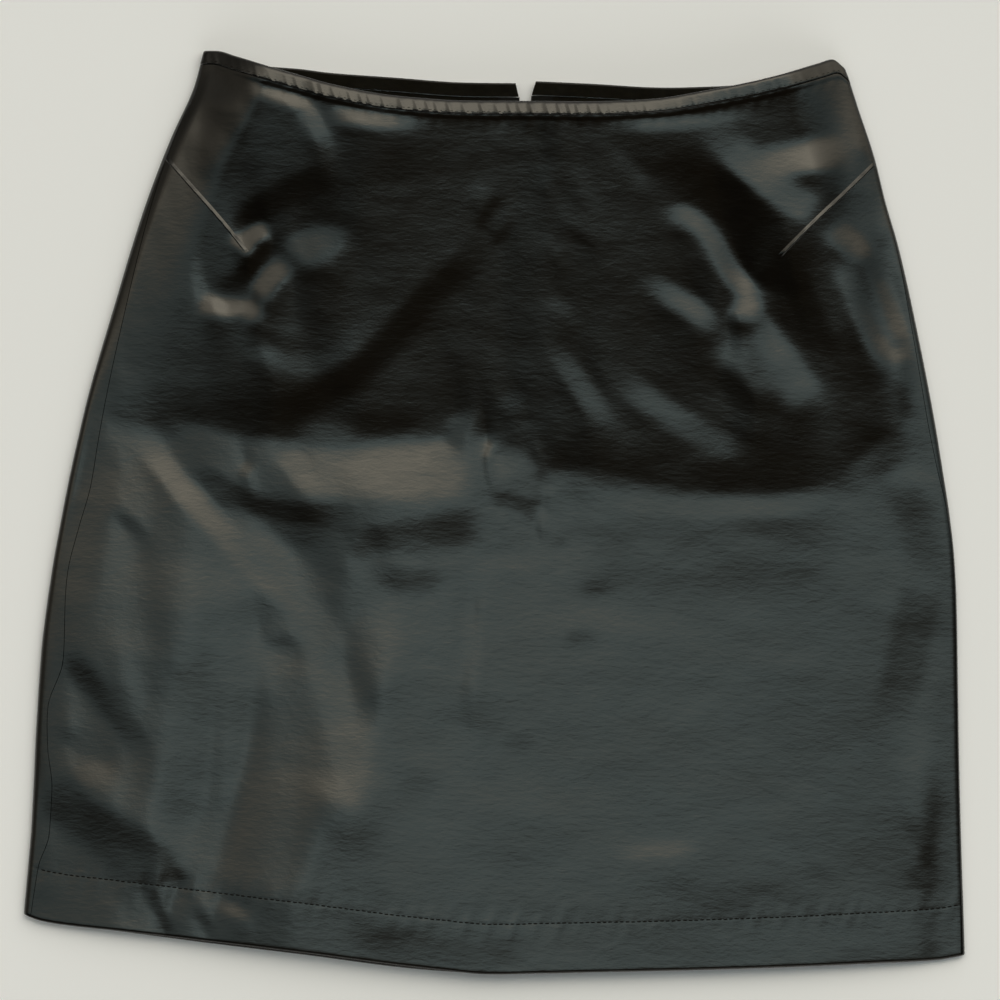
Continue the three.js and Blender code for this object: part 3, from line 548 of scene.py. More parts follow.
def outer(q, t):
    """A point of the tube's outside, q mm round its ring from the left outline at level t."""
    left, right = LEFT(t), RIGHT(t)
    wide = right - left - 2 * R
    whole_half = 2 * QUARTER + wide
    s = np.mod(q, 2 * whole_half)
    front = s <= whole_half
    s = np.where(front, s, 2 * whole_half - s)
    from_right = whole_half - s
    x = left + R + (s - QUARTER)
    z = np.full_like(x, R)
    near_left, near_right = s < QUARTER, from_right < QUARTER
    x = np.where(near_left, left + R * (1 - np.cos(s / R)), x)
    z = np.where(near_left, R * np.sin(s / R), z)
    x = np.where(near_right, right - R * (1 - np.cos(from_right / R)), x)
    z = np.where(near_right, R * np.sin(from_right / R), z)
    z = np.where(front, R + z, R - z)
    top = smooth(z / (2 * R))
    u = np.clip((x - left) / (right - left), 0, 1)
    y_waist = WAIST_B(u) + (WAIST_F(u) - WAIST_B(u)) * top
    y_hem = HEM_B(u) + (HEM_F(u) - HEM_B(u)) * top
    y = y_waist + (y_hem - y_waist) * t
    inside = np.minimum(x - left, right - x)
    up = top * (puff(x, y, t, u, inside) + smooth(inside / 7) * sample(FRONT_FIELD, x, y))
    near_zip = smooth((np.abs(x - BACK_X) - 18) / 14)
    under = (1 - top) * (lift(x, y) + near_zip * smooth((inside - 4) / 16) * sample(BACK_FIELD, x, y))
    return np.stack([x, y, z + np.where(front, up, under)], -1)


def point(q, t, depth):
    """A point of the tube moved in along the normal by a depth; a negative depth stands proud."""
    e = 0.4
    q, t = np.broadcast_arrays(np.asarray(q, float), np.asarray(t, float))
    across = outer(q + e, t) - outer(q - e, t)
    along = outer(q, t + down(e)) - outer(q, t - down(e))
    n = np.cross(along, across)
    n /= np.linalg.norm(n, axis=-1, keepdims=True)
    return outer(q, t) - n * np.asarray(depth)[..., None]


def seam_left(t):
    return inset(SEAM_L(np.clip(t, 0, 1)))


def seam_right(t):
    return inset(SEAM_R(np.clip(t, 0, 1)))


def front_columns(places):
    """Columns of the front at level t, from shares of the way between its two seams."""
    def columns(t):
        a, b = seam_left(t) + GAP / 2, half(t) - seam_right(t) - GAP / 2
        return a + (b - a) * places
    return columns


def half_back(wrap, centre, count):
    sides = [-f * wrap for f in (1, 0.84, 0.68, 0.55, 0.42, 0.33, 0.25, 0.18, 0.12, 0.06)]
    rolled = [QUARTER * i / 6 for i in range(7)]
    rest = [QUARTER + (centre - QUARTER) * i / count for i in range(1, count + 1)]
    return np.array(sides + rolled + rest)


def back_right_columns(count):
    def columns(t):
        centre = QUARTER + (RIGHT(t) - R - BACK_X - OPEN_R(max(t * LENGTH, 0)))
        return half(t) + half_back(seam_right(t) - GAP / 2, centre, count)
    return columns


def back_left_columns(count):
    def columns(t):
        centre = QUARTER + (BACK_X - OPEN_L(max(t * LENGTH, 0)) - LEFT(t) - R)
        return (2 * half(t) - half_back(seam_left(t) - GAP / 2, centre, count))[::-1]
    return columns


def strip_columns(places):
    def columns(t):
        return np.array([2 * half(t) - QUARTER - (BACK_X + x - LEFT(t) - R) for x in places])
    return columns


# ---------------------------------------------------------------- walls
def turned(depth, outside=(), inside=()):
    """A turned edge: down the outer leaf, over the fold and up the inner leaf, in mm from the fold."""
    layers = 2 * CLOTH + GAP
    rows = [((mm, 0), (mm, CLOTH)) for mm in outside]
    rows += [
        ((1.5, 0.0), (1.6, CLOTH)),
        ((0.7, 0.05), (CLOTH + 0.25, CLOTH)),
        ((0.2, 0.35), (CLOTH + 0.03, CLOTH + 0.04)),
        ((0.0, 0.8), (CLOTH, CLOTH + 0.1)),
        ((0.0, layers - 0.8), (CLOTH, CLOTH + GAP - 0.1)),
        ((0.2, layers - 0.35), (CLOTH + 0.03, CLOTH + GAP - 0.04)),
        ((0.7, layers - 0.05), (CLOTH + 0.25, CLOTH + GAP)),
        ((1.5, layers), (1.6, CLOTH + GAP)),
    ]
    rows += [((mm, layers), (mm, CLOTH + GAP)) for mm in inside]
    rows.append(((depth, layers), (depth, CLOTH + GAP)))
    return rows


def wall(name, columns, stations, materials, proud=None, facing_shade_rows=0):
    """A cloth wall swept over columns and stations; materials are the face side's and the wrong side's."""
    n, m = len(stations), len(columns(0.5))
    q, t, d = np.empty((2, n, m)), np.empty((2, n, m)), np.empty((2, n, m))
    for k, station in enumerate(stations):
        for side, (level, depth) in enumerate(station):
            q[side, k], t[side, k], d[side, k] = columns(level), level, depth
    if proud is not None:
        d = d - proud(q, t, d)
    verts = point(q, t, d).reshape(-1, 3) * MM

    def grid(side):
        return side * n * m + np.arange(n)[:, None] * m + np.arange(m)[None, :]

    def quads(a, b, c, e):
        return np.stack([a, b, c, e], -1).reshape(-1, 4)

    g0, g1 = grid(0), grid(1)
    faces = [
        quads(g0[:-1, :-1], g0[1:, :-1], g0[1:, 1:], g0[:-1, 1:]),
        quads(g1[:-1, :-1], g1[:-1, 1:], g1[1:, 1:], g1[1:, :-1]),
        quads(g0[0, :-1], g0[0, 1:], g1[0, 1:], g1[0, :-1]),
        quads(g0[-1, :-1], g1[-1, :-1], g1[-1, 1:], g0[-1, 1:]),
        quads(g0[:-1, 0], g1[:-1, 0], g1[1:, 0], g0[1:, 0]),
        quads(g0[:-1, -1], g0[1:, -1], g1[1:, -1], g1[:-1, -1]),
    ]
    slots = np.concatenate([np.full(len(f), 1 if i == 1 else 0) for i, f in enumerate(faces)])
    slots[:facing_shade_rows * (m - 1)] = 1  # the first rows of the face side, and their end, take the dark wrong-side material: a facing, and also painted shade inside the waist opening
    if facing_shade_rows:
        end = len(faces[0]) + len(faces[1])
        slots[end:end + m - 1] = 1
    mesh = bpy.data.meshes.new(name)
    mesh.from_pydata(verts.tolist(), [], np.concatenate(faces).tolist())
    for material in materials:
        mesh.materials.append(material)
    mesh.polygons.foreach_set("material_index", slots if len(materials) > 1 else np.zeros(len(slots), int))
    mesh.polygons.foreach_set("use_smooth", np.ones(len(slots), bool))
    mesh.update()
    obj = bpy.data.objects.new(name, mesh)
    bpy.context.scene.collection.objects.link(obj)
    sharpen(mesh, 50)
    return obj


def sharpen(mesh, degrees):
    """Marks edges sharper than an angle, so that rims stay crisp on a smooth mesh."""
    mesh.set_sharp_from_angle(angle=math.radians(degrees))


def mesh_object(name, verts, faces, materials, smooth_faces=True, sharp=40):
    mesh = bpy.data.meshes.new(name)
    mesh.from_pydata(np.asarray(verts).tolist(), [], [list(map(int, f)) for f in faces])
    for material in materials:
        mesh.materials.append(material)
    mesh.polygons.foreach_set("use_smooth", np.full(len(mesh.polygons), smooth_faces))
    mesh.update()
    obj = bpy.data.objects.new(name, mesh)
    bpy.context.scene.collection.objects.link(obj)
    if smooth_faces:
        sharpen(mesh, sharp)
    return obj


# ---------------------------------------------------------------- materials
class Graph:
    def __init__(self, name):
        self.material = bpy.data.materials.new(name)
        self.material.use_nodes = True
        self.tree = self.material.node_tree
        self.tree.nodes.clear()
        self.shader = self.node("ShaderNodeBsdfPrincipled")
        out = self.node("ShaderNodeOutputMaterial")
        self.link(self.shader.outputs[0], out.inputs[0])
        self.coord = self.node("ShaderNodeTexCoord").outputs["Object"]

    def node(self, kind, **values):
        n = self.tree.nodes.new(kind)
        for key, value in values.items():
            setattr(n, key, value)
        return n

    def link(self, a, b):
        self.tree.links.new(a, b)

    def scaled(self, sx, sy, sz):
        """Object coordinates in units of the given sizes in millimetres."""
        n = self.node("ShaderNodeMapping")
        n.inputs["Scale"].default_value = (1000 / sx, 1000 / sy, 1000 / sz)
        self.link(self.coord, n.inputs["Vector"])
        return n.outputs[0]

    def noise(self, size, detail=3.0, rough=0.55, distortion=0.0):
        n = self.node("ShaderNodeTexNoise")
        n.inputs["Scale"].default_value = 1.0
        n.inputs["Detail"].default_value = detail
        n.inputs["Roughness"].default_value = rough
        n.inputs["Distortion"].default_value = distortion
        self.link(self.scaled(*size), n.inputs["Vector"])
        return n.outputs["Fac"]

    def voronoi(self, size, feature="F1"):
        n = self.node("ShaderNodeTexVoronoi", feature=feature)
        n.inputs["Scale"].default_value = 1.0
        self.link(self.scaled(*size), n.inputs["Vector"])
        return n.outputs["Distance"]

    def ramp(self, value, stops):
        n = self.node("ShaderNodeValToRGB")
        n.color_ramp.elements[0].position, n.color_ramp.elements[0].color = stops[0][0], (*stops[0][1], 1)
        n.color_ramp.elements[1].position, n.color_ramp.elements[1].color = stops[-1][0], (*stops[-1][1], 1)
        for position, color in stops[1:-1]:
            n.color_ramp.elements.new(position).color = (*color, 1)
        self.link(value, n.inputs[0])
        return n.outputs[0]

    def range(self, value, a, b, lo, hi):
        n = self.node("ShaderNodeMapRange")
        for key, v in zip(("From Min", "From Max", "To Min", "To Max"), (a, b, lo, hi)):
            n.inputs[key].default_value = v
        self.link(value, n.inputs["Value"])
        return n.outputs[0]

    def math(self, operation, a, b):
        n = self.node("ShaderNodeMath", operation=operation)
        for i, v in enumerate((a, b)):
            if isinstance(v, (int, float)):
                n.inputs[i].default_value = v
            else:
                self.link(v, n.inputs[i])
        return n.outputs[0]

    def bump(self, height, depth_mm, before=None, strength=1.0):
        n = self.node("ShaderNodeBump")
        n.inputs["Strength"].default_value = strength
        n.inputs["Distance"].default_value = depth_mm * MM
        self.link(height, n.inputs["Height"])
        if before is not None:
            self.link(before, n.inputs["Normal"])
        return n.outputs[0]

    def set(self, **values):
        for key, value in values.items():
            self.shader.inputs[key.replace("_", " ")].default_value = value


def coated_leather(name, dark=(0.0016, 0.0014, 0.0011), light=(0.0028, 0.0025, 0.0020), rough=(0.115, 0.155), crinkle=0.6):
    g = Graph(name)
    g.link(g.ramp(g.noise((14, 9, 9), 4), [(0.3, dark), (0.7, light)]), g.shader.inputs["Base Color"])
    patches = g.noise((40, 22, 22), 3)
    g.link(g.range(patches, 0.3, 0.7, rough[0], rough[1]), g.shader.inputs["Roughness"])
    g.set(IOR=1.5)
    normal = g.bump(g.noise((6.5, 2.6, 2.6), 3, 0.5, 0.3), 0.085 * crinkle)
    normal = g.bump(g.noise((2.6, 0.9, 0.9), 3, 0.55, 0.4), 0.030 * crinkle, normal)
    normal = g.bump(g.voronoi((0.7, 0.55, 0.55)), 0.006, normal)
    g.link(normal, g.shader.inputs["Normal"])
    return g.material


def backing_and_shade(name):
    """The wrong side: a close napped fabric, very dark; on the waistband's inner leaf its darkness is partly painted
    shade.
    """
    g = Graph(name)
    # Base colour: the napped fabric's own very dark olive, set darker still as painted shade for the inside of the
    # waist opening.
    g.link(g.ramp(g.noise((3, 2.2, 2.2), 5), [(0.3, (0.0022, 0.0018, 0.0009)), (0.7, (0.0060, 0.0050, 0.0026))]), g.shader.inputs["Base Color"])
    g.link(g.range(g.noise((8, 8, 8), 2), 0.3, 0.7, 0.78, 0.92), g.shader.inputs["Roughness"])
    g.set(Sheen_Weight=0.02, Sheen_Roughness=0.5, Specular_IOR_Level=0.1)
    normal = g.bump(g.noise((0.5, 0.5, 0.5), 4, 0.7), 0.05)
    normal = g.bump(g.noise((2.4, 1.6, 1.6), 3), 0.06, normal)
    g.link(normal, g.shader.inputs["Normal"])
    return g.material


def thread(name):
    g = Graph(name)
    g.link(g.ramp(g.noise((0.5, 0.5, 0.5), 3), [(0.3, (0.003, 0.003, 0.003)), (0.7, (0.009, 0.008, 0.007))]), g.shader.inputs["Base Color"])
    g.link(g.range(g.noise((1, 1, 1), 2), 0.3, 0.7, 0.75, 0.92), g.shader.inputs["Roughness"])
    g.set(Specular_IOR_Level=0.08)
    g.link(g.bump(g.noise((0.3, 0.12, 0.12), 2), 0.03), g.shader.inputs["Normal"])
    return g.material


def woven_tape(name):
    g = Graph(name)
    rows = g.node("ShaderNodeTexWave", wave_type="BANDS", bands_direction="Y")
    rows.inputs["Scale"].default_value = 0.5
    g.link(g.scaled(0.9, 0.9, 0.9), rows.inputs["Vector"])
    ribs = g.node("ShaderNodeTexWave", wave_type="BANDS", bands_direction="X")
    ribs.inputs["Scale"].default_value = 0.5
    g.link(g.scaled(0.7, 0.7, 0.7), ribs.inputs["Vector"])
    weave = g.math("MULTIPLY", rows.outputs["Fac"], ribs.outputs["Fac"])
    g.link(g.ramp(weave, [(0.1, (0.003, 0.003, 0.003)), (0.9, (0.014, 0.013, 0.012))]), g.shader.inputs["Base Color"])
    g.link(g.range(g.noise((6, 6, 6), 2), 0.3, 0.7, 0.75, 0.92), g.shader.inputs["Roughness"])
    g.set(Specular_IOR_Level=0.12)
    g.link(g.bump(weave, 0.12), g.shader.inputs["Normal"])
    return g.material


def nylon(name):
    g = Graph(name)
    g.link(g.ramp(g.noise((2, 2, 2), 3), [(0.3, (0.006, 0.006, 0.006)), (0.7, (0.013, 0.012, 0.012))]), g.shader.inputs["Base Color"])
    g.link(g.range(g.noise((3, 3, 3), 2), 0.3, 0.7, 0.35, 0.5), g.shader.inputs["Roughness"])
    g.link(g.bump(g.noise((0.3, 0.3, 0.3), 2), 0.02), g.shader.inputs["Normal"])
    return g.material


def black_metal(name):
    g = Graph(name)
    wear = g.noise((1.6, 1.6, 1.6), 5, 0.65)
    g.link(g.ramp(wear, [(0.45, (0.012, 0.012, 0.013)), (0.72, (0.06, 0.058, 0.055))]), g.shader.inputs["Base Color"])
    g.link(g.range(g.noise((2.4, 0.8, 0.8), 4), 0.3, 0.7, 0.26, 0.45), g.shader.inputs["Roughness"])
    g.set(Metallic=0.85)
    g.link(g.bump(g.noise((0.6, 0.25, 0.25), 4), 0.012), g.shader.inputs["Normal"])
    return g.material


LEATHER = coated_leather("coated_leather")
BAND_LEATHER = coated_leather("band_leather", (0.0022, 0.0020, 0.0017), (0.0036, 0.0032, 0.0027), (0.15, 0.21), 0.7)
BACKING_AND_SHADE = backing_and_shade("napped_backing_and_shade")
THREAD = thread("black_thread")
TAPE = woven_tape("zip_tape_weave")
NYLON = nylon("zip_nylon")
METAL = black_metal("zip_black_metal")

# ---------------------------------------------------------------- cloth pieces
STITCH_T = 1 - down(26.2)  # the hem's row of stitches


def shares(parts):
    """Shares from 0 to 1 with a different spacing in each part; parts are (end in mm, spacing)."""
    out, at = [0.0], 0.0
    for end, spacing in parts:
        n = max(1, round((end - at) / spacing))
        out += list(at + (end - at) * np.arange(1, n + 1) / n)
        at = end
    return np.array(out) / out[-1]


# across the front, in mm from the left seam of a 470 mm wide level
FRONT_PLACES = shares([(4, 1.0), (46, 2.3), (104, 1.9), (216, 2.4), (276, 1.6), (366, 2.4), (424, 1.9), (466, 2.3), (470, 1.0)])


def panel_levels(coarse=1.0):
    rows = [BAND_DEPTH + GAP]
    for end, spacing in ((15, 0.9), (100, 1.8), (165, 2.3), (250, 1.9), (420, 2.9), (428.6, 1.7)):
        start = rows[-1]
        n = max(1, round((end - start) / (spacing * coarse)))
        rows += list(start + (end - start) * np.arange(1, n + 1) / n)
    return rows


def panel_stations(coarse=1.0):
    levels = [((down(mm), 0), (down(mm), CLOTH)) for mm in panel_levels(coarse)]
    near = [28.0, 27.2, 26.6, 26.2, 25.8, 25.2, 24.4, 23.2, 21.4, 19.0, 16.4, 13.8, 11.2, 8.6, 6.2, 4.2, 2.6]
    inner = [2.6, 4.4, 7.5, 11, 15, 19, 22.5]
    return levels + [tuple((1 - down(mm), depth) for mm, depth in s) for s in turned(HEM_DEPTH, near, inner)]


def ripple(q, seed, spacing, sharp):
    """Uneven upright puckers along a seam, 0 to 1, with the spacing in mm."""
    rng = np.random.default_rng(seed)
    total = np.zeros_like(q)
    centres, at = [], -40.0
    while at < 1100:
        centres.append((at, rng.uniform(0.4, 1.0), rng.uniform(0.8, 1.25) * sharp))
        at += spacing * rng.uniform(0.6, 1.5)
    for c, h, w in centres:
        total += h * np.exp(-((q - c) / w) ** 2)
    return total


def panel_proud(q, t, depth=0.0):
    """Puckers under the waistband and along the hem's stitches, where the thread pulls the cloth in."""
    mm = t * LENGTH
    below = mm - BAND_DEPTH
    under_band = np.exp(-(below / 5.5) ** 2) * ripple(q, 31, 6.5, 1.5) * 0.22
    off = (t - STITCH_T) * LENGTH
    hem = np.exp(-(off / 7.5) ** 2) * (ripple(q + 0.25 * off, 32, 9.0, 2.0) - 0.3) * 0.15
    pulled = -0.02 * np.exp(-(off / 0.8) ** 2)
    on_face = smooth((off + 12) / 3) * smooth((30 - off) / 3)
    edge = 0.34 * np.exp(-(below / 1.5) ** 2)
    return (edge + under_band + (hem + pulled) * on_face) * (0.1 + 0.9 * on_front(q, t))


def front_proud(q, t, depth=0.0):
    """As panel_proud, but the lip under the waistband stays where it is."""
    return panel_proud(q, t) * smooth((t * LENGTH - BAND_DEPTH) / 0.6)


def on_front(q, t):
    return smooth(outer(q, t)[..., 2] / R - 1)


def band_proud(q, t, depth=0.0):
    """The waistband stands proud, with slanted puckers that are tallest at its lower edge."""
    mm = np.clip(t * LENGTH, 0, BAND_DEPTH)
    slant = q - 0.55 * mm
    share = mm / BAND_DEPTH
    x = q - QUARTER + LEFT(t) + R
    middle = 0.38 + 0.62 * np.exp(-((x + 12) / 66) ** 2)
    pucker = (ripple(slant, 41, 6.4, 1.1) - 0.3) * (0.20 + 0.50 * share) * middle
    soft = ripple(slant + 3, 42, 13.0, 3.4) * 0.14 * share
    roll = (0.86 - 0.62 * smooth((x - 45) / 75)) * share * smooth((1.06 - share) / 0.12)
    outside = np.asarray(depth) < 1.15  # only the outer leaf is puckered
    front = on_front(q, t)
    return BAND_PROUD * front + np.where(outside, (pucker + soft + roll) * (0.05 + 0.95 * front) * smooth(mm / 1.5), 0)


def band_stations():
    rows = turned(BAND_DEPTH, [BAND_DEPTH, 6.6, 6.0, 5.3, 4.6, 3.9, 3.2, 2.4], [2.4, 3.6, 5.0, 6.2])
    return [tuple((down(mm), depth) for mm, depth in s) for s in reversed(rows)]


def tucked(stations):
    """The same stations with a thin lip in front of them, between the waistband's two leaves."""
    lip = [((down(mm), 0.47), (down(mm), 0.63)) for mm in (5.6, 6.4, 7.0)]
    return lip + stations


pieces = {}
cloth = (LEATHER, BACKING_AND_SHADE)
pieces["front"] = wall("leather_front", front_columns(FRONT_PLACES), tucked(panel_stations(1.12)), cloth, front_proud)
pieces["back_right"] = wall("leather_back_right", back_right_columns(62), panel_stations(1.7), cloth, panel_proud)
pieces["back_left"] = wall("leather_back_left", back_left_columns(62), panel_stations(1.7), cloth, panel_proud)
# The waistbands' first six face-side rows, their inner leaf, take the dark wrong-side material: partly a facing,
# partly painted shade inside the waist opening.
band = (BAND_LEATHER, BACKING_AND_SHADE)
pieces["band_front"] = wall("waistband_front", front_columns(np.linspace(0, 1, 361)), band_stations(), band, band_proud, 6)
pieces["band_back_right"] = wall("waistband_back_right", back_right_columns(150), band_stations(), band, band_proud, 6)
pieces["band_back_left"] = wall("waistband_back_left", back_left_columns(150), band_stations(), band, band_proud, 6)
for key, node in (("front", "panel_front"), ("back_right", "panel_back_right"), ("back_left", "panel_back_left"),
                  ("band_front", "band_front"), ("band_back_right", "band_back_right"), ("band_back_left", "band_back_left")):
    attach(pieces[key], "skirt")
    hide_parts(node)


# ---------------------------------------------------------------- hip darts
def front_q(x, t):
    return QUARTER + (x - LEFT(t) - R)


def on_cloth(x, y, depth=0.0):
    """A point of the front at x, y, found along its column, and moved in by a depth."""
    x, y = np.asarray(x, float), np.asarray(y, float)
    t = (215 - y) / LENGTH
    for _ in range(12):
        p = outer(front_q(x, t), t)
        t = t + (p[..., 1] - y) / LENGTH
    return point(front_q(x, t), t, np.broadcast_to(np.asarray(depth, float), x.shape))


def dart(name, path, flip):
    """A sewn dart: a narrow ridge where the cloth is folded under, with its seam in a groove beside it."""
    line = spline(path, 26)
    d = np.gradient(line, axis=0)
    d /= np.linalg.norm(d, axis=1, keepdims=True)
    side = np.stack([-d[:, 1], d[:, 0]], 1) * flip
    n = len(line)
    share = np.linspace(0, 1, n)
    fade = smooth(share / 0.05) * smooth((1 - share) / 0.16)
    # offset from the seam, and height over the panel
    section = [(-1.6, -0.32), (-0.9, -0.24), (-0.4, -0.18), (-0.1, -0.14), (0.05, -0.06), (0.18, 0.20), (0.42, 0.40),
               (0.78, 0.44), (1.15, 0.31), (1.6, 0.13), (2.15, 0.0), (2.9, -0.25)]
    wave = 1 + 0.18 * np.sin(share * 61) + 0.12 * np.sin(share * 23 + 1)
    rows = []
    for off, tall in section:
        x, y = line[:, 0] + side[:, 0] * off, line[:, 1] + side[:, 1] * off
        height = tall if tall < 0 and abs(off) > 2 else tall * fade * (wave if tall > 0 else 1)
        rows.append(on_cloth(x, y, -(height * np.ones(n)) - 0.03 * fade))
    outside = np.array(rows)
    under = np.array([on_cloth(line[:, 0] + side[:, 0] * o, line[:, 1] + side[:, 1] * o, np.full(n, 0.55)) for o, _ in section])
    m = len(section)
    verts = np.concatenate([outside.reshape(-1, 3), under.reshape(-1, 3)]) * MM
    top = np.arange(m * n).reshape(m, n)
    low = top + m * n
    faces = []
    for i in range(m - 1):
        for k in range(n - 1):
            a = [top[i, k], top[i, k + 1], top[i + 1, k + 1], top[i + 1, k]]
            b = [low[i, k], low[i + 1, k], low[i + 1, k + 1], low[i, k + 1]]
            faces += [a[::-1], b[::-1]] if flip < 0 else [a, b]
    for k in range(n - 1):
        for i, turn in ((0, 1), (m - 1, -1)):
            f = [top[i, k], low[i, k], low[i, k + 1], top[i, k + 1]]
            faces.append(f[::turn * (1 if flip > 0 else -1)])
    for i in range(m - 1):
        for k, turn in ((0, -1), (n - 1, 1)):
            f = [top[i, k], low[i, k], low[i + 1, k], top[i + 1, k]]
            faces.append(f[::turn * (1 if flip > 0 else -1)])
    obj = mesh_object(name, verts, faces, [LEATHER])
    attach(obj, "skirt")
    return obj


darts = [
    dart("dart_left", [(-187.2, 178.6), (-172, 162.5), (-157, 146.6), (-143.0, 130.6)], 1),
    dart("dart_right", [(138.2, 138.4), (155, 156.4), (171, 172.6), (187.6, 190.0)], 1),
]


# ---------------------------------------------------------------- stitches
def stitches(name, q, t, length, width, depth):
    """A row of stitches: small rounded lengths of thread that sit in the cloth, along the ring."""
    rings, around = 5, 6
    along = np.array([-0.5, -0.36, 0.0, 0.36, 0.5]) * length
    fat = np.array([0.25, 0.85, 1.0, 0.85, 0.25]) * width / 2
    sunk = np.array([0.34, 0.06, 0.0, 0.06, 0.34])
    verts, faces = [], []
    q, t = np.asarray(q), np.asarray(t)
    centre = [point(q + a, t, np.full(len(q), depth + s)) for a, s in zip(along, sunk)]
    e = 0.3
    for i in range(rings):
        ax = point(q + along[i] + e, t, np.zeros(len(q))) - point(q + along[i] - e, t, np.zeros(len(q)))
        ax /= np.linalg.norm(ax, axis=1, keepdims=True)
        up = point(q + along[i], t, np.full(len(q), -0.5)) - point(q + along[i], t, np.full(len(q), 0.5))
        up /= np.linalg.norm(up, axis=1, keepdims=True)
        sd = np.cross(ax, up)
        for k in range(around):
            w = 2 * math.pi * k / around
            verts.append(centre[i] + (up * math.sin(w) + sd * math.cos(w)) * fat[i])
    verts = np.stack(verts, 1).reshape(-1, 3) * MM
    per = rings * around
    for j in range(len(q)):
        base = j * per
        for i in range(rings - 1):
            for k in range(around):
                k2 = (k + 1) % around
                faces.append([base + i * around + k, base + (i + 1) * around + k, base + (i + 1) * around + k2, base + i * around + k2])
        faces.append([base + k for k in range(around)])
        faces.append([base + (rings - 1) * around + k for k in reversed(range(around))])
    obj = mesh_object(name, verts, faces, [THREAD], sharp=80)
    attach(obj, "skirt")
    return obj


def proud_stitches(name, q, t, proud, length, width, sunk):
    """As stitches, but each one sits at the height that the cloth has there."""
    return stitches(name, q, t, length, width, sunk - proud(np.asarray(q), np.asarray(t)))


def row_on_ring(t, spacing, start, end, seed):
    n = int((end - start) / spacing)
    rng = np.random.default_rng(seed)
    q = start + (np.arange(n) + 0.5) * (end - start) / n + rng.uniform(-0.12, 0.12, n)
    return q, np.full(n, t) + rng.uniform(-0.12, 0.12, n) / LENGTH


def stitch_set():
    t, e = STITCH_T, 1.2
    whole = float(half(t))
    a, b = float(seam_left(t)), whole - float(seam_right(t))
    front = row_on_ring(t, 3.0, a + e, b - e, 51)
    centre_r = float(back_right_columns(62)(t)[-1])
    centre_l = float(back_left_columns(62)(t)[0])
    right = row_on_ring(t, 3.0, b + e, centre_r - e, 52)
    left = row_on_ring(t, 3.0, centre_l + e, 2 * whole + a - e, 53)
    out = {"hem_stitches_front": front, "hem_stitches_back_right": right, "hem_stitches_back_left": left}
    return {k: proud_stitches(k, *v, panel_proud, 2.6, 0.85, 0.10 if "front" in k else 0.50) for k, v in out.items()}


def band_stitch_set():
    out = {}
    t = down(BAND_DEPTH - 1.3)
    e = 1.0
    whole = float(half(t))
    a, b = float(seam_left(t)), whole - float(seam_right(t))
    centre_r = float(back_right_columns(62)(t)[-1])
    centre_l = float(back_left_columns(62)(t)[0])
    rows = {"waist_stitches_front": (a + e, b - e, 54), "waist_stitches_back_right": (b + e, centre_r - e, 55),
            "waist_stitches_back_left": (centre_l + e, 2 * whole + a - e, 56)}
    for name, (start, end, seed) in rows.items():
        q, tt = row_on_ring(t, 2.8, start, end, seed)
        out[name] = proud_stitches(name, q, tt, band_proud, 2.1, 0.36, 0.06 if "front" in name else 0.22)
    return out


hem_rows = stitch_set()
band_rows = band_stitch_set()

# ---------------------------------------------------------------- zip
TAPE_ROWS = [BAND_DEPTH + GAP, 12, 16, 20, 25, 30, 34, 40, 46, 54, 62, 72, 85, 100, 115, 130, 145, 160, 175, BAND_DEPTH + ZIP_LENGTH]


def zip_tape(name, near, far):
    places = np.linspace(far, near, 12)
    stations = [((down(mm), CLOTH + GAP), (down(mm), 2 * CLOTH + GAP)) for mm in TAPE_ROWS]
    obj = wall(name + "_woven", strip_columns(places), stations, (TAPE,))
    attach(obj, "skirt")
    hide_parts(name)
    return obj


tape_right = zip_tape("zip_tape_right", 3.1, 3.1 + TAPE_WIDTH)
tape_left = zip_tape("zip_tape_left", -3.1 - TAPE_WIDTH, -3.1)


def coil():
    """The closed chain: two rows of nylon loops that mesh at the middle, each sewn to its tape."""
    verts, faces = [], []
    pitch, start, end = 1.5, 30.0, BAND_DEPTH + ZIP_LENGTH - 4.4
    around = 6
    y_rows = np.arange(start, end, pitch / 2)
    for i, mm in enumerate(y_rows):
        sign = 1 if i % 2 else -1
        # a loop from its head past the middle, out to the tape and back below
        loop = [(-0.55, 0.75), (-0.1, 0.35), (0.7, 0.28), (1.5, 0.32), (1.78, 0.75), (1.5, 1.18), (0.7, 1.24), (-0.1, 1.16)]
        ring = []
        for x, z in loop:
            ring.append(point(2 * half(down(mm)) - QUARTER - (BACK_X + sign * x - LEFT(down(mm)) - R), down(mm), np.float64(CLOTH + GAP + z)))
        ring = np.array(ring)
        centre = ring.mean(0)
        axis = np.array([0.0, 1.0, 0.0])
        base = len(verts)
        for p in ring:
            out = p - centre
            out /= np.linalg.norm(out)
            for k in range(around):
                w = 2 * math.pi * k / around
                verts.append(p + (out * math.cos(w) * 0.24 + axis * math.sin(w) * 0.32))
        m = len(ring)
        for a in range(m):
            b = (a + 1) % m
            for k in range(around):
                k2 = (k + 1) % around
                f = [base + a * around + k, base + b * around + k, base + b * around + k2, base + a * around + k2]
                faces.append(f if sign > 0 else f[::-1])
    obj = mesh_object("zip_coil", np.array(verts) * MM, faces, [NYLON], sharp=80)
    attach(obj, "skirt")
    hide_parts("zip_chain")
    return obj


zip_coil = coil()


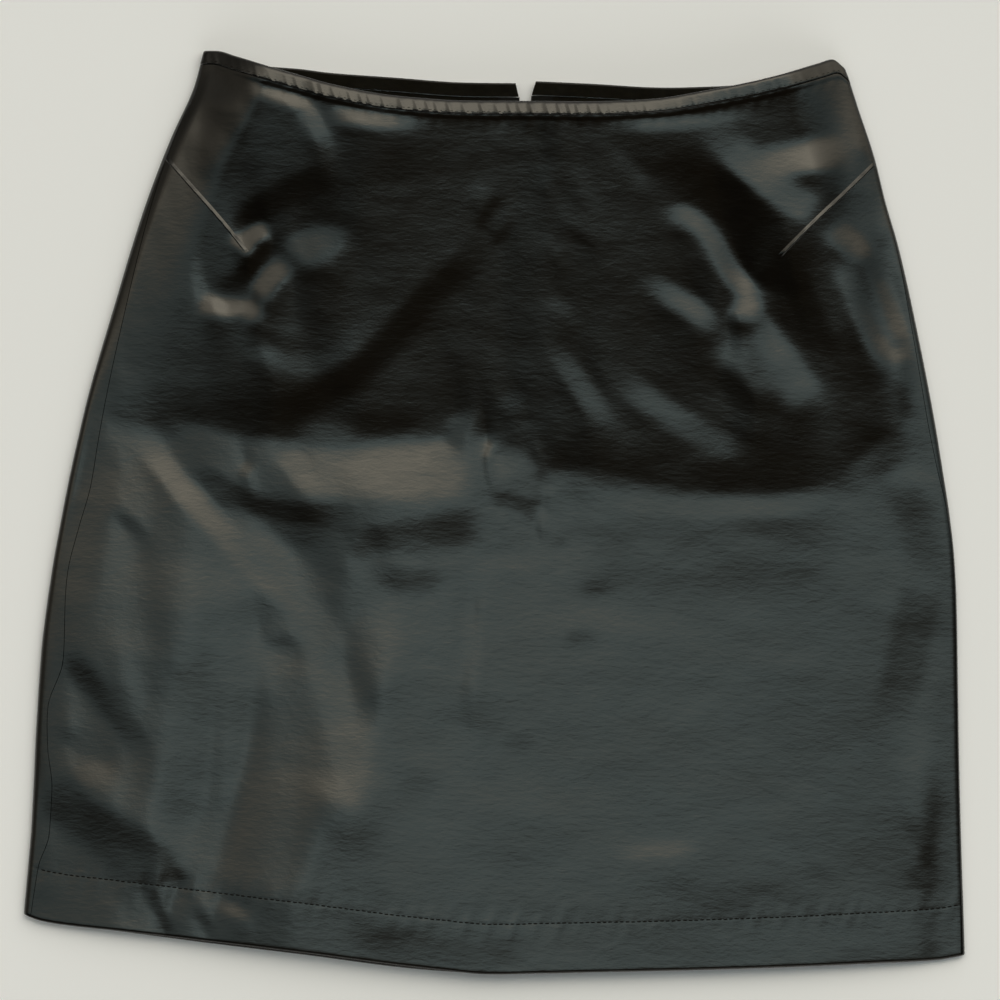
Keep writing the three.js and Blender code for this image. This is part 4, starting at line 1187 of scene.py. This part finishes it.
def softened(node, name, body, material, width):
    """A metal piece with the solid's form and rounded edges."""
    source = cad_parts[node]
    mesh = source.data.copy()
    mesh.name = name
    obj = bpy.data.objects.new(name, mesh)
    bpy.context.scene.collection.objects.link(obj)
    obj.matrix_world = source.matrix_world.copy()
    mesh.materials.clear()
    mesh.materials.append(material)
    weld = obj.modifiers.new("weld", "WELD")
    weld.merge_threshold = 1e-6
    bevel = obj.modifiers.new("edges", "BEVEL")
    bevel.width, bevel.segments, bevel.limit_method, bevel.angle_limit = width * MM, 3, "ANGLE", math.radians(30)
    obj.modifiers.new("shade", "WEIGHTED_NORMAL")
    mesh.polygons.foreach_set("use_smooth", np.ones(len(mesh.polygons), bool))
    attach(obj, body)
    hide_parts(node)
    return obj


slider = softened("zip_slider", "zip_slider_metal", "skirt", METAL, 0.18)
pull = softened("zip_pull", "zip_pull_metal", "pull", METAL, 0.2)


# ---------------------------------------------------------------- the cut of each sheet
def face_area(obj):
    mesh = obj.data
    areas = np.empty(len(mesh.polygons))
    mesh.polygons.foreach_get("area", areas)
    return float(areas.sum())


CUTS = {
    # width, length and area share of the rectangle, from the pattern of each piece
    "front": ((0.482, 0.486), 0.92),
    "back_right": ((0.262, 0.492), 0.87),
    "back_left": ((0.266, 0.492), 0.87),
    "band_front": ((0.350, 0.016), 1.0),
    "band_back_right": ((0.176, 0.016), 1.0),
    "band_back_left": ((0.176, 0.016), 1.0),
}
along_pieces = {
    "front": [*darts, hem_rows["hem_stitches_front"]],
    "back_right": [hem_rows["hem_stitches_back_right"]],
    "back_left": [hem_rows["hem_stitches_back_left"]],
    "band_front": [band_rows["waist_stitches_front"]],
    "band_back_right": [band_rows["waist_stitches_back_right"]],
    "band_back_left": [band_rows["waist_stitches_back_left"]],
}
for key, ((wide, long), share) in CUTS.items():
    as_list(along_pieces[key])

# ---------------------------------------------------------------- floor, light and camera
floor_mesh = bpy.data.meshes.new("floor")
floor_mesh.from_pydata([(-4, -4, 0), (4, -4, 0), (4, 4, 0), (-4, 4, 0)], [], [(0, 1, 2, 3)])
floor = bpy.data.objects.new("floor", floor_mesh)
floor.location.z = -0.0002
bpy.context.scene.collection.objects.link(floor)
ground = bpy.data.materials.new("pale_floor")
ground.use_nodes = True
ground.node_tree.nodes["Principled BSDF"].inputs["Base Color"].default_value = (0.90, 0.93, 1.0, 1)
ground.node_tree.nodes["Principled BSDF"].inputs["Roughness"].default_value = 0.95
ground.node_tree.nodes["Principled BSDF"].inputs["Specular IOR Level"].default_value = 0.1
floor_mesh.materials.append(ground)

world = bpy.data.worlds.new("soft_studio")
bpy.context.scene.world = world
world.use_nodes = True
tree = world.node_tree
tree.nodes.clear()


def wnode(kind, **values):
    n = tree.nodes.new(kind)
    for key, value in values.items():
        setattr(n, key, value)
    return n


# A soft overhead light, cool above and warm towards the waist, dark towards the hem.
direction = wnode("ShaderNodeTexCoord")
towards = wnode("ShaderNodeVectorMath", operation="DOT_PRODUCT")
towards.inputs[1].default_value = (-math.sin(LIGHT_TURN), math.cos(LIGHT_TURN), 0)
tree.links.new(direction.outputs["Generated"], towards.inputs[0])
spread = wnode("ShaderNodeMapRange")
spread.inputs["From Min"].default_value, spread.inputs["From Max"].default_value = -1, 1
tree.links.new(towards.outputs["Value"], spread.inputs["Value"])
sky = wnode("ShaderNodeValToRGB")
SKY = [  # share towards the waist from -1 to 1, and the light's colour and strength
    (-1.0, (1.10, 1.08, 1.0)), (-0.74, (0.85, 0.84, 0.77)), (-0.54, (0.30, 0.28, 0.24)), (-0.38, (0.032, 0.020, 0.012)), (-0.20, (0.06, 0.04, 0.02)),
    (-0.165, (0.10, 0.085, 0.06)), (-0.135, (0.16, 0.15, 0.12)), (-0.115, (0.215, 0.21, 0.175)), (-0.09, (0.36, 0.39, 0.35)), (-0.065, (0.56, 0.64, 0.60)),
    (-0.045, (0.80, 0.95, 0.91)), (-0.022, (1.04, 1.30, 1.27)), (0.0, (1.18, 1.52, 1.50)), (0.055, (1.28, 1.56, 1.50)),
    (0.085, (1.6, 1.72, 1.56)), (0.11, (2.0, 1.98, 1.66)), (0.15, (2.6, 2.45, 2.0)), (0.20, (3.3, 3.05, 2.45)), (0.28, (3.9, 3.55, 2.85)),
    (0.42, (2.9, 2.7, 2.25)), (0.60, (1.5, 1.4, 1.2)), (0.80, (0.9, 0.86, 0.78)), (1.0, (0.6, 0.58, 0.54)),
]
ramp = sky.color_ramp
ramp.interpolation = "LINEAR"
ramp.elements[0].position, ramp.elements[0].color = (SKY[0][0] + 1) / 2, (*SKY[0][1], 1)
ramp.elements[1].position, ramp.elements[1].color = (SKY[-1][0] + 1) / 2, (*SKY[-1][1], 1)
for where, color in SKY[1:-1]:
    ramp.elements.new((where + 1) / 2).color = (*color, 1)
tree.links.new(spread.outputs[0], sky.inputs[0])
# It is as wide as a long soft box, with a wall on the left nearer than on the right, so that the cloth's sides show darker.
across = wnode("ShaderNodeVectorMath", operation="DOT_PRODUCT")
across.inputs[1].default_value = (math.cos(LIGHT_TURN), math.sin(LIGHT_TURN), 0)
tree.links.new(direction.outputs["Generated"], across.inputs[0])
aside = wnode("ShaderNodeMapRange")
aside.inputs["From Min"].default_value, aside.inputs["From Max"].default_value = -1, 1
tree.links.new(across.outputs["Value"], aside.inputs["Value"])
ends = wnode("ShaderNodeValToRGB")
for element, (where, left_of_it) in zip(ends.color_ramp.elements, (SIDES[0], SIDES[-1])):
    element.position, element.color = (where + 1) / 2, (left_of_it,) * 3 + (1,)
for where, left_of_it in SIDES[1:-1]:
    ends.color_ramp.elements.new((where + 1) / 2).color = (left_of_it,) * 3 + (1,)
tree.links.new(aside.outputs[0], ends.inputs[0])
light = wnode("ShaderNodeBackground")
tree.links.new(sky.outputs[0], light.inputs[0])
tree.links.new(ends.outputs[0], light.inputs[1])
plain = wnode("ShaderNodeBackground")
plain.inputs[0].default_value = (1, 1, 1, 1)
path_node = wnode("ShaderNodeLightPath")
mixed = wnode("ShaderNodeMixShader")
tree.links.new(path_node.outputs["Is Camera Ray"], mixed.inputs[0])
tree.links.new(light.outputs[0], mixed.inputs[1])
tree.links.new(plain.outputs[0], mixed.inputs[2])
wout = wnode("ShaderNodeOutputWorld")
tree.links.new(mixed.outputs[0], wout.inputs[0])

scene = bpy.context.scene
scene.view_settings.view_transform = "Standard"
scene.view_settings.look = "None"
scene.view_settings.exposure = 0.0
scene.view_settings.gamma = 1.0

cam_data = bpy.data.cameras.new("camera")
cam_data.type = "PERSP"
cam_data.sensor_width = 36
cam_data.lens = 36 * (FAR - 0.012) / (1000 * VIEW_K * MM)
cam_data.clip_start, cam_data.clip_end = 0.5, 60
camera = bpy.data.objects.new("camera", cam_data)
cx, cy = place(500, 500)
camera.location = (cx * MM, cy * MM, FAR)
camera.rotation_euler = (0, 0, VIEW_TURN)
scene.collection.objects.link(camera)
scene.camera = camera
